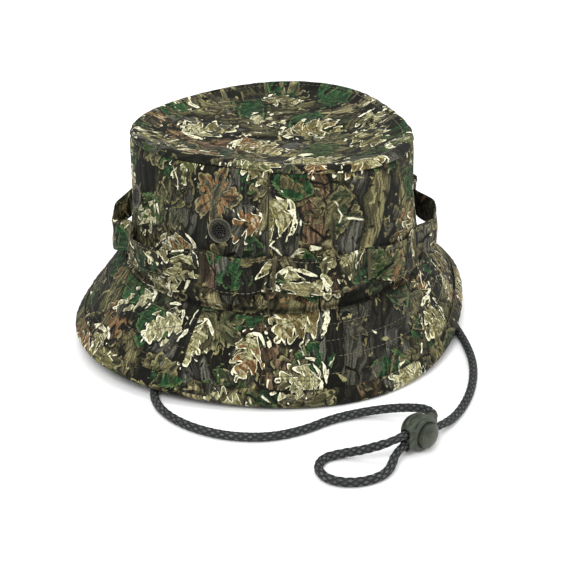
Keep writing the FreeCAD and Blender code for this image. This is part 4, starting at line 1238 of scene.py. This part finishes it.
def make_crown():
    """The crown's two panels, the sweatband and the tapes over the seams inside."""
    for side, start in (("right", PANEL_SEAM), ("left", PANEL_SEAM + 180)):
        wall_piece("crown_side_" + side, start + PANEL_GAP, start + 180 - PANEL_GAP, whole_share(0),
                   whole_share(1), 0.0, CLOTH, 260, UPWARD, [CAMO, REVERSE], "camo_cloth",
                   PANEL_PRINTS[side])
    inside = SWEATBAND_INSET
    wall_piece("sweatband", 0, 360, WALL_LOW, SWEATBAND_HIGH, inside, SWEATBAND, 240, 16,
               [SWEATBAND_CLOTH], "sweatband_cloth")
    for end, middle in (("front", PANEL_SEAM), ("back", PANEL_SEAM + 180)):
        wall_piece("side_seam_tape_" + end, middle - TAPE_TURN, middle + TAPE_TURN, SWEATBAND_HIGH + 0.5,
                   WALL_HIGH - 14, inside, LINING, 9, 30, [LINING_TAPE], "lining_tape")
    wall_piece("top_seam_tape", 0, 360, whole_share(0.86), whole_share(0.985), inside, LINING, 240, 8,
               [LINING_TAPE], "lining_tape")


make_crown()

TOP_RINGS, TOP_AROUND = 44, 240
# The radius of the roll that turns the top down over its rim, and how far in its stitches run.
RIM_ROLL, STITCH_RING = 3.4, 6.5
# Further out than this the top may be turned down over its rim.
TURNED_DOWN = 66.0
# Soft creases across the crown's top: points of each one's line, seen from above.
CREASES = [
    [(-34.0, 44.0), (-24.0, 6.0), (-12.0, -26.0), (-2.0, -52.0)],
    [(-18.0, 68.0), (-12.0, 39.0), (-1.0, 16.0), (16.0, -10.0)],
    [(50.0, -38.0), (36.0, -16.0), (28.0, 6.0), (30.0, 30.0)],
]
CREASE_DEEP, CREASE_WIDE = 2.3, 3.0
# The ridge beside a crease, and how deep the whole top is dished.
RIDGE_HIGH, RIDGE_OFF, RIDGE_WIDE = 1.2, 6.5, 5.0
DISH = 6.5


def creased(points):
    """How far the creases raise or lower the crown's top at points seen from above."""
    total = np.zeros(points.shape[:-1])
    for line in CREASES:
        along = np.linspace(0, 1, len(line))
        share = np.linspace(0, 1, 61)
        stops = joined(*(np.interp(share, along, values) for values in zip(*line)))
        ahead = unit(np.gradient(stops, axis=0))
        away = points[..., None, :2] - stops
        nearest = np.argmin(np.sum(away**2, axis=-1), axis=-1)
        off = np.take_along_axis(away, nearest[..., None, None], axis=-2)[..., 0, :]
        way = ahead[nearest]
        side = off[..., 0] * way[..., 1] - off[..., 1] * way[..., 0]
        far = np.linalg.norm(off, axis=-1)
        side = np.where(side < 0, -far, far)
        fade = np.sin(np.pi * share[nearest]) ** 0.6
        ridge = RIDGE_HIGH * bell(side - RIDGE_OFF, RIDGE_WIDE)
        total += fade * (ridge - CREASE_DEEP * bell(side, CREASE_WIDE))
    return total


def rim_bead(depth):
    """How far the seam's turned-in cloth raises the top, at a distance in from the roll of its rim."""
    return 0.9 * bell(depth - 2.5, 3.0)


def make_top():
    """The crown's top: a disc of cloth that sags and folds a little, turned down over its rim."""
    bearing = np.arange(TOP_AROUND) * 360.0 / TOP_AROUND
    rim = top_outline(bearing) - RIM_ROLL
    level = rim_height(bearing)
    cells = 61
    across = np.linspace(-1, 1, cells)
    u, v = np.meshgrid(across, across)
    x, y = u * np.sqrt(1 - v**2 / 2), v * np.sqrt(1 - u**2 / 2)
    spot = np.degrees(np.arctan2(x, -y))
    reach = np.hypot(x, y)
    sheet = polar(spot, reach * (top_outline(spot) - RIM_ROLL), 0.0)
    sheet[..., 2] = level.mean() + reach * (rim_height(spot) - level.mean()) - DISH * (1 - reach**2)
    edge = np.zeros((cells, cells), dtype=bool)
    edge[0] = edge[-1] = True
    edge[:, 0] = edge[:, -1] = True
    faces = grid_faces(cells, cells, False)
    settled = settle(sheet.reshape(-1, 3), faces, np.flatnonzero(edge), 0.008, 26, 1.2, 10.0)
    polygons = [tuple(map(int, face)) for face in faces]
    tree = BVHTree.FromPolygons([Vector(point) for point in settled], polygons)

    def height_at(points, otherwise):
        """Heights of the top's cloth over points, or the given heights where a point is off its edge."""
        heights = []
        otherwise = np.broadcast_to(otherwise, points.shape[:-1]).ravel()
        for point, fallback in zip(points.reshape(-1, 3), otherwise):
            hit = tree.ray_cast(Vector((point[0], point[1], 300)), Vector((0, 0, -1)))
            heights.append(hit[0].z if hit[0] else fallback)
        return np.array(heights).reshape(points.shape[:-1]) + creased(points)

    shares = np.linspace(0.012, 0.985, TOP_RINGS)[:, None]
    flat_part = polar(bearing[None, :], shares * rim[None, :], 0.0)
    flat_part[..., 2] = height_at(flat_part, level[None, :])
    depth = (1 - shares) * rim[None, :]
    flat_part[..., 2] += rim_bead(depth) - 0.35 * bell(depth + RIM_ROLL - STITCH_RING, 0.8)
    ripple = waves(11, flat_part[..., 0], flat_part[..., 1], (7, 14))
    flat_part[..., 2] += 0.25 * ripple * bell(depth, 9.0)
    turn = np.radians(np.linspace(8, 88, 7))[:, None]
    drop = RIM_ROLL * (1 - np.cos(turn)) - rim_bead(0)
    rolled = polar(bearing[None, :], rim + RIM_ROLL * np.sin(turn), level - drop)
    low = polar(bearing[None, :], rim + RIM_ROLL * np.array([[1.0], [0.93], [0.0]]),
                level - np.array([[RIM_ROLL + 0.1], [RIM_DROP - 0.3], [RIM_DROP - 0.12]]))
    outer = np.concatenate([flat_part, rolled, low])[::-1]
    ripple = waves(12, np.radians(bearing)[None, :] * 80, np.arange(len(outer))[:, None] * 1.0, (7, 15))
    outer[:11] += (outwards(outer) * (0.3 * ripple)[..., None])[:11]
    normals = grid_normals(outer, True)
    inner = outer - normals * CLOTH
    return outer, inner, height_at


def make_crown_top():
    """The crown's top and the label under it. Gives the line that the top's stitches follow."""
    outer, inner, height_at = make_top()
    rows, columns = outer.shape[:2]
    count = rows * columns
    middles = [outer[-1].mean(axis=0), inner[-1].mean(axis=0)]
    points = np.concatenate([outer.reshape(-1, 3), inner.reshape(-1, 3), middles])
    faces = grid_faces(rows, columns, True).tolist()
    front = len(faces)
    faces += grid_faces(rows, columns, True, count, flip=True).tolist()
    for column in range(columns):
        after = (column + 1) % columns
        last = (rows - 1) * columns
        faces.append([last + column, last + after, 2 * count])
        faces.append([count + last + after, count + last + column, 2 * count + 1])
        faces.append([column, count + column, count + after, after])
    index = np.concatenate([np.zeros(front), np.ones(front), np.tile([0, 1, 1], columns)])
    flat = points[:, :2].copy()
    away = np.linalg.norm(flat, axis=1, keepdims=True)
    drop = np.clip(CROWN_HEIGHT - points[:, 2:3], 0, 6) * (away > TURNED_DOWN)
    flat = flat / np.maximum(away, 1e-6) * (away + drop)
    turn = math.radians(TOP_PRINT_TURN)
    x, y = flat.T
    flat = joined(x * math.cos(turn) + y * math.sin(turn), -x * math.sin(turn) + y * math.cos(turn))
    flat = flat + TOP_PRINT
    piece = new_object("crown_top_cloth", points, faces, [CAMO, REVERSE], flat, index)
    finished(piece, "camo_cloth", "crown_top")

    low, high = box_mm("woven_label")
    x = np.linspace(low[0], high[0], 30)[None, :]
    y = np.linspace(low[1], high[1], 16)[:, None]
    under = joined(x, y, 0.0)
    under[..., 2] = height_at(under, CROWN_HEIGHT) - CLOTH - 0.3
    below = under - np.array([0, 0, high[2] - low[2]])
    label = shell("woven_label_cloth", under, below, under[..., :2], [LABEL_CLOTH])
    finished(label, "label_cloth", "woven_label")

    bearing = np.linspace(0, 360, 400)
    ring = polar(bearing, top_outline(bearing) - STITCH_RING, 0.0)
    ring[:, 2] = height_at(ring, CROWN_HEIGHT) + rim_bead(STITCH_RING - RIM_ROLL) - 0.2
    return ring, np.tile([0.0, 0.0, 1.0], (400, 1))


TOP_STITCHES = make_crown_top()

# ---------------------------------------------------------------- brim

BRIM_AROUND, BRIM_ROWS = 540, 56
# Where the rows of stitches run, as shares of the way from the seam to the edge.
ROW_PLACES = [0.16, 0.34, 0.52, 0.70, 0.865, 0.905]
# The radius that the brim is measured round at, how far it bulges between seam and edge, and the
# most that its quilting goes in.
BRIM_MIDDLE, BRIM_BULGE, QUILT_DEEP = 110.0, 1.6, 0.38
# How far a row of stitches draws the cloth in and each stitch dimples it, and how far the cloth
# puffs up between the rows in short and in long waves. The whole edge waves up and down a little.
ROW_DEEP, DIMPLE, SHORT_PUFF, LONG_PUFF, EDGE_WAVE = 0.42, 0.03, 0.22, 0.35, 1.1
# Where the cloth brim has sagged by itself below the CAD model's, and reaches further out.
EDGE_SAG, SAG_BEARING, SAG_WIDE = 4.0, -118.0, 26.0
SAG_REACH, REACH_BEARING = 2.4, -98.0


def brim_reach(bearing):
    """How far out the brim reaches."""
    flare = BRIM_FLARE * np.cos(2 * np.radians(bearing - BRIM_FLARE_TURN))
    corner = BRIM_CORNER * np.cos(4 * np.radians(bearing - BRIM_CORNER_TURN))
    sag = SAG_REACH * bell(turn_from(bearing, REACH_BEARING), SAG_WIDE)
    return BRIM_RADIUS - flare + corner + sag


def edge_height(bearing):
    """How high the brim's lower edge lies."""
    sag = EDGE_SAG * bell(turn_from(bearing, SAG_BEARING), SAG_WIDE)
    return EDGE_LIFT * np.sin(np.radians(bearing - EDGE_LIFT_TURN)) ** 2 - sag


def brim_point(bearing, share, deep, quilted=True):
    """A point of the brim: share goes from the seam to the edge, deep is into the cloths.

    Shares over 1 and under 0 go on past the brim's ends. Quilted cloth is drawn in at the rows of
    stitches and stands up a little between them.
    """
    inner_r = wall_radius(bearing, SEAM_HEIGHT) + SEAM_ROOM
    inner_z = SEAM_HEIGHT + SEAM_RISE
    reach = brim_reach(bearing)
    low = edge_height(bearing)
    run, fall = reach - inner_r, inner_z - low - BRIM_DEEP
    length = np.hypot(run, fall)
    slope_r, slope_z = run / length, -fall / length
    normal_r, normal_z = slope_z, -slope_r
    outer_r = reach - (slope_r - normal_r) * TAPE
    outer_z = low - EDGE_LAND - slope_z * TAPE - normal_z * (BRIM_DEEP + TAPE)
    arc = np.radians(bearing) * BRIM_MIDDLE
    out = EDGE_WAVE * waves(23, arc, 0 * arc, (90, 190), 4) * np.clip(share, 0, 1) ** 2
    out = out + BRIM_BULGE * np.sin(np.pi * np.clip(share, 0, 1))
    if quilted:
        drawn = 0.0
        for place in ROW_PLACES:
            off = (share - place) * length
            dimple = np.cos(arc * (2 * math.pi / (STITCH_LONG + STITCH_GAP))) * bell(off, 1.2)
            drawn = drawn + ROW_DEEP * bell(off, 1.0) + DIMPLE * dimple
        puff = SHORT_PUFF * waves(21, arc, share * length, (8, 20))
        puff = puff + LONG_PUFF * waves(22, arc * 0.5, share * length, (22, 60))
        relief = np.minimum(drawn - puff * ease(share / 0.12) * ease((1.02 - share) / 0.12), QUILT_DEEP)
        deep = deep + np.where(np.asarray(deep) < BRIM_DEEP / 2, 1.0, -1.0) * relief
    radius = inner_r + (outer_r - inner_r) * share + normal_r * (deep - out)
    height = inner_z + (outer_z - inner_z) * share + normal_z * (deep - out)
    return polar(bearing, radius, np.maximum(height, 0.04))


def brim_length(bearing):
    """How long the brim's slant is from seam to edge."""
    inner = brim_point(bearing, np.array(0.0), 0.0)
    outer = brim_point(bearing, np.array(1.0), 0.0)
    return np.linalg.norm(outer - inner, axis=-1)


# The ring of cloth that the brim was cut as: its inner radius and its width.
CUT_RADIUS, CUT_WIDE = 93.0, 46.0


def flat_brim(bearing, share, across, up, turn):
    """Where a point of the brim lies in the cloth that it was cut from."""
    away = CUT_RADIUS + share * CUT_WIDE
    angle = np.radians(bearing + turn)
    return joined(away * np.sin(angle) + across, -away * np.cos(angle) + up)


BRIM_SEAM = -70.0


def make_brim():
    """The brim's two cloths, each of two halves, and the stiffening between them."""
    share = np.linspace(0, 1, BRIM_ROWS)[:, None]
    half = BRIM_AROUND // 2 + 1
    for name, face, back in (
        ("brim_upper", 0.0, BRIM_CLOTH - 0.1),
        ("brim_lower", BRIM_DEEP, BRIM_DEEP - BRIM_CLOTH + 0.1),
    ):
        for side, start in (("a", BRIM_SEAM), ("b", BRIM_SEAM + 180)):
            bearing = (start + np.linspace(0.0, 180.0, half))[None, :]
            top = brim_point(bearing, share, face)
            bottom = brim_point(bearing, share, back)
            across, up, turn = BRIM_PRINTS[side]
            flat = flat_brim(bearing, share, across, up + face * UNDER_PRINT, turn)
            # Painted shade on the brim's cloth next to its seam with the crown.
            painted_shade = 0.9 * bell(share * brim_length(bearing), SEAM_SHADE_REACH)
            flat = np.concatenate([flat, painted_shade[..., None]], axis=-1)
            if face > back:
                top, bottom, flat = top[::-1], bottom[::-1], flat[::-1]
            made = shell(f"{name}_{side}", top, bottom, flat, [CAMO, REVERSE])
            finished(made, "camo_cloth")
        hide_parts(name)
    bearing = (360.0 * np.arange(240) / 240)[None, :]
    thin = np.linspace(0.01, 0.985, 24)[:, None]
    top = brim_point(bearing, thin, BRIM_CLOTH + QUILT_DEEP, quilted=False)
    bottom = brim_point(bearing, thin, BRIM_DEEP - BRIM_CLOTH - QUILT_DEEP, quilted=False)
    flat = joined(np.radians(bearing) * BRIM_MIDDLE, thin * CUT_WIDE)
    core = shell("brim_interlining_felt", top, bottom, flat, [INTERLINING_CLOTH], closed=True)
    finished(core, "interlining", "brim_interlining")


make_brim()

# How round the binding's fold is: 1 is a half circle.
FOLD_FLAT = 0.72
# The binding's width from edge to edge, in millimetres and so in rows of points.
BINDING_ACROSS = 23


def binding_section(bearing, across, lift):
    """A point of the binding: across goes from its upper edge, over the brim's, to its lower edge."""
    length = brim_length(bearing)
    half = BRIM_DEEP / 2 + TAPE * lift
    bend = math.pi * half
    total = 2 * TAPE_WIDTH + bend
    far = across * total
    on_top = far < TAPE_WIDTH
    under = far > TAPE_WIDTH + bend
    angle = np.clip((far - TAPE_WIDTH) / half, 0, math.pi)
    past = np.where(on_top, far - TAPE_WIDTH, np.where(under, total - TAPE_WIDTH - far, 0.0))
    past = past + half * FOLD_FLAT * np.sin(angle)
    deep = BRIM_DEEP / 2 - half * np.cos(angle)
    return 1 + past / length, deep


def make_binding():
    """The folded tape round the brim's edge, with a groove where its stitches draw it in."""
    bearing = (150 + np.linspace(0.0, 360.0, 541))[None, :]
    across = np.linspace(0, 1, BINDING_ACROSS)[:, None]
    arc = np.radians(bearing) * BRIM_RADIUS
    surfaces = []
    for lift in (0.85, 0.25):
        share, deep = binding_section(bearing, across, lift)
        ripple = waves(31, arc, across * 20, (5, 11)) * 0.16 * (lift > 0.5)
        groove = sum(bell((across - seam) * BINDING_ACROSS, 0.7) for seam in (0.06, 0.94))
        groove = 0.35 * groove * (lift > 0.5)
        side = np.where(deep < BRIM_DEEP / 2, -1.0, 1.0)
        surfaces.append(brim_point(bearing, share, deep + side * (ripple - groove), quilted=False))
    flat = joined(arc + BINDING_PRINT[0], across * BINDING_ACROSS + BINDING_PRINT[1])
    outer, inner = surfaces
    piece = shell("brim_binding_tape", outer[::-1], inner[::-1], flat[::-1], [CAMO, REVERSE])
    finished(piece, "binding_tape", "brim_binding")


make_binding()


def brim_rows():
    """The rows of stitches on both faces of the brim."""
    rows = []
    for place in ROW_PLACES:
        for deep in (0.0, BRIM_DEEP):
            side = -1.0 if deep == 0.0 else 1.0
            bearing = np.linspace(0, 360, 721)
            line = brim_point(bearing, np.array(place), deep)
            ahead = np.gradient(line, axis=0)
            outward = brim_point(bearing, np.array(place + 0.03), deep) - line
            normal = unit(np.cross(ahead, outward)) * -side
            rows.append((line + normal * -0.02, normal))
    return rows


def sweatband_rows():
    """Two rows of stitches on the sweatband's inner face, near its lower and its upper edge."""
    bearing = np.linspace(0, 360, 721)
    rows = []
    for height in (WALL_LOW + 2.5, SWEATBAND_HIGH - 2.0):
        line, outward = on_wall(bearing, share_at(bearing, height), SWEATBAND_INSET + SWEATBAND)
        rows.append((line, -outward))
    return rows


stitching("brim_stitching", brim_rows())
stitching("crown_top_stitching", [TOP_STITCHES])
stitching("sweatband_stitching", sweatband_rows())

# ---------------------------------------------------------------- foliage band


# How far the band's face and reverse stand off, how deep its stitches press a groove and how far from
# its edge they do, how much its edges are rounded off, and the radius that it is measured round at.
BAND_FACE, BAND_BACK, BAND_GROOVE, BAND_HEM, BAND_ROUNDED, BAND_ROUND = 1.15, 0.05, 0.3, 1.9, 0.45, 92


def make_band():
    """The foliage band: ten bowed loops, their two rows of stitches and the bars between them."""
    bearings = stitch_bearings()
    rows = []
    for index, (start, end) in enumerate(zip(bearings[:-1], bearings[1:])):
        bearing = np.linspace(start, end, 64)[None, :]
        up = np.linspace(0, 1, 15)[:, None]
        bow = band_bow(bearing, start, end)
        level = BAND_LOW + (BAND_HIGH - BAND_LOW) * up - band_dip(bearing)
        height = level - LOOP_DROPS[index] * bow + LOOP_RAISES[index] * (1 - up)
        wall = wall_radius(bearing, level)
        middle = wall_radius(bearing, BAND_MIDDLE)
        arc = np.radians(bearing) * BAND_ROUND
        soft = waves(40 + index, arc, height, (14, 40)) * 0.6 * bow * LOOP_BOWS[index]
        lean = LOOP_LEANS[index] * (up - 0.5) * 2 * bow
        stand = wall + (middle - wall + BAND_BOW * LOOP_BOWS[index]) * bow + BAND_GAP + soft + lean
        edge = np.minimum(up, 1 - up) * (BAND_HIGH - BAND_LOW)
        groove = BAND_GROOVE * bell(edge - BAND_HEM, 0.6)
        round_off = BAND_ROUNDED * bell(edge, 0.6)
        outer = polar(bearing, stand + BAND_FACE - groove - round_off, height)
        inner = polar(bearing, stand + BAND_BACK + round_off, height)
        flat = joined(arc + LOOP_PRINT + LOOP_PRINT_STEP[0] * index, height + LOOP_PRINT_STEP[1] * index)
        name = f"foliage_loop_{index + 1:02d}"
        piece = shell(name + "_cloth", outer, inner, flat, [CAMO, CAMO])
        finished(piece, "band_cloth", name)
        for share in (0.095, 0.905):
            row = share * 14
            low = int(row)
            line = outer[low] * (1 - row + low) + outer[low + 1] * (row - low)
            normal = unit(np.cross(np.gradient(line, axis=0), outer[low + 1] - outer[low]))
            rows.append((line + normal * 0.05, normal))
    stitching("band_stitching", rows)
    bars = [bartack(stitch) for stitch in bearings[:-1]]
    points = np.concatenate([points for points, _ in bars])
    faces, first = [], 0
    for one, own in bars:
        faces += [[first + corner for corner in face] for face in own]
        first += len(one)
    flat = np.stack([points[:, 2], points[:, 0]], axis=-1)
    piece = new_object("loop_bartack_threads", points, faces, [THREAD], flat)
    finished(piece, "thread", "loop_bartacks")


# A bar's width, the length of one zigzag and its thread's thickness.
BARTACK_WIDE, BARTACK_STEP, BARTACK_THREAD = 2.0, 0.55, 0.5


def bartack(stitch):
    """One bar of close zigzag stitches across the band, as one tube that goes back and forth."""
    height = np.arange(BAND_LOW + 1, BAND_HIGH - 1, BARTACK_STEP / 2) - band_dip(stitch)
    side = np.where(np.arange(len(height)) % 2 == 0, -0.5, 0.5) * BARTACK_WIDE
    radius = wall_radius(stitch, height) + BAND_GAP + 1.3
    line = polar(stitch + np.degrees(side / radius), radius, height)
    ahead = unit(np.gradient(line, axis=0))
    out = outwards(line)
    across = unit(np.cross(out, ahead))
    points = tube(line, out, across, BARTACK_THREAD / 2, 5)
    count = len(line)
    faces = grid_faces(count, 5, True).tolist()
    faces += [[4, 3, 2, 1, 0], [(count - 1) * 5 + corner for corner in range(5)]]
    return points, faces


make_band()
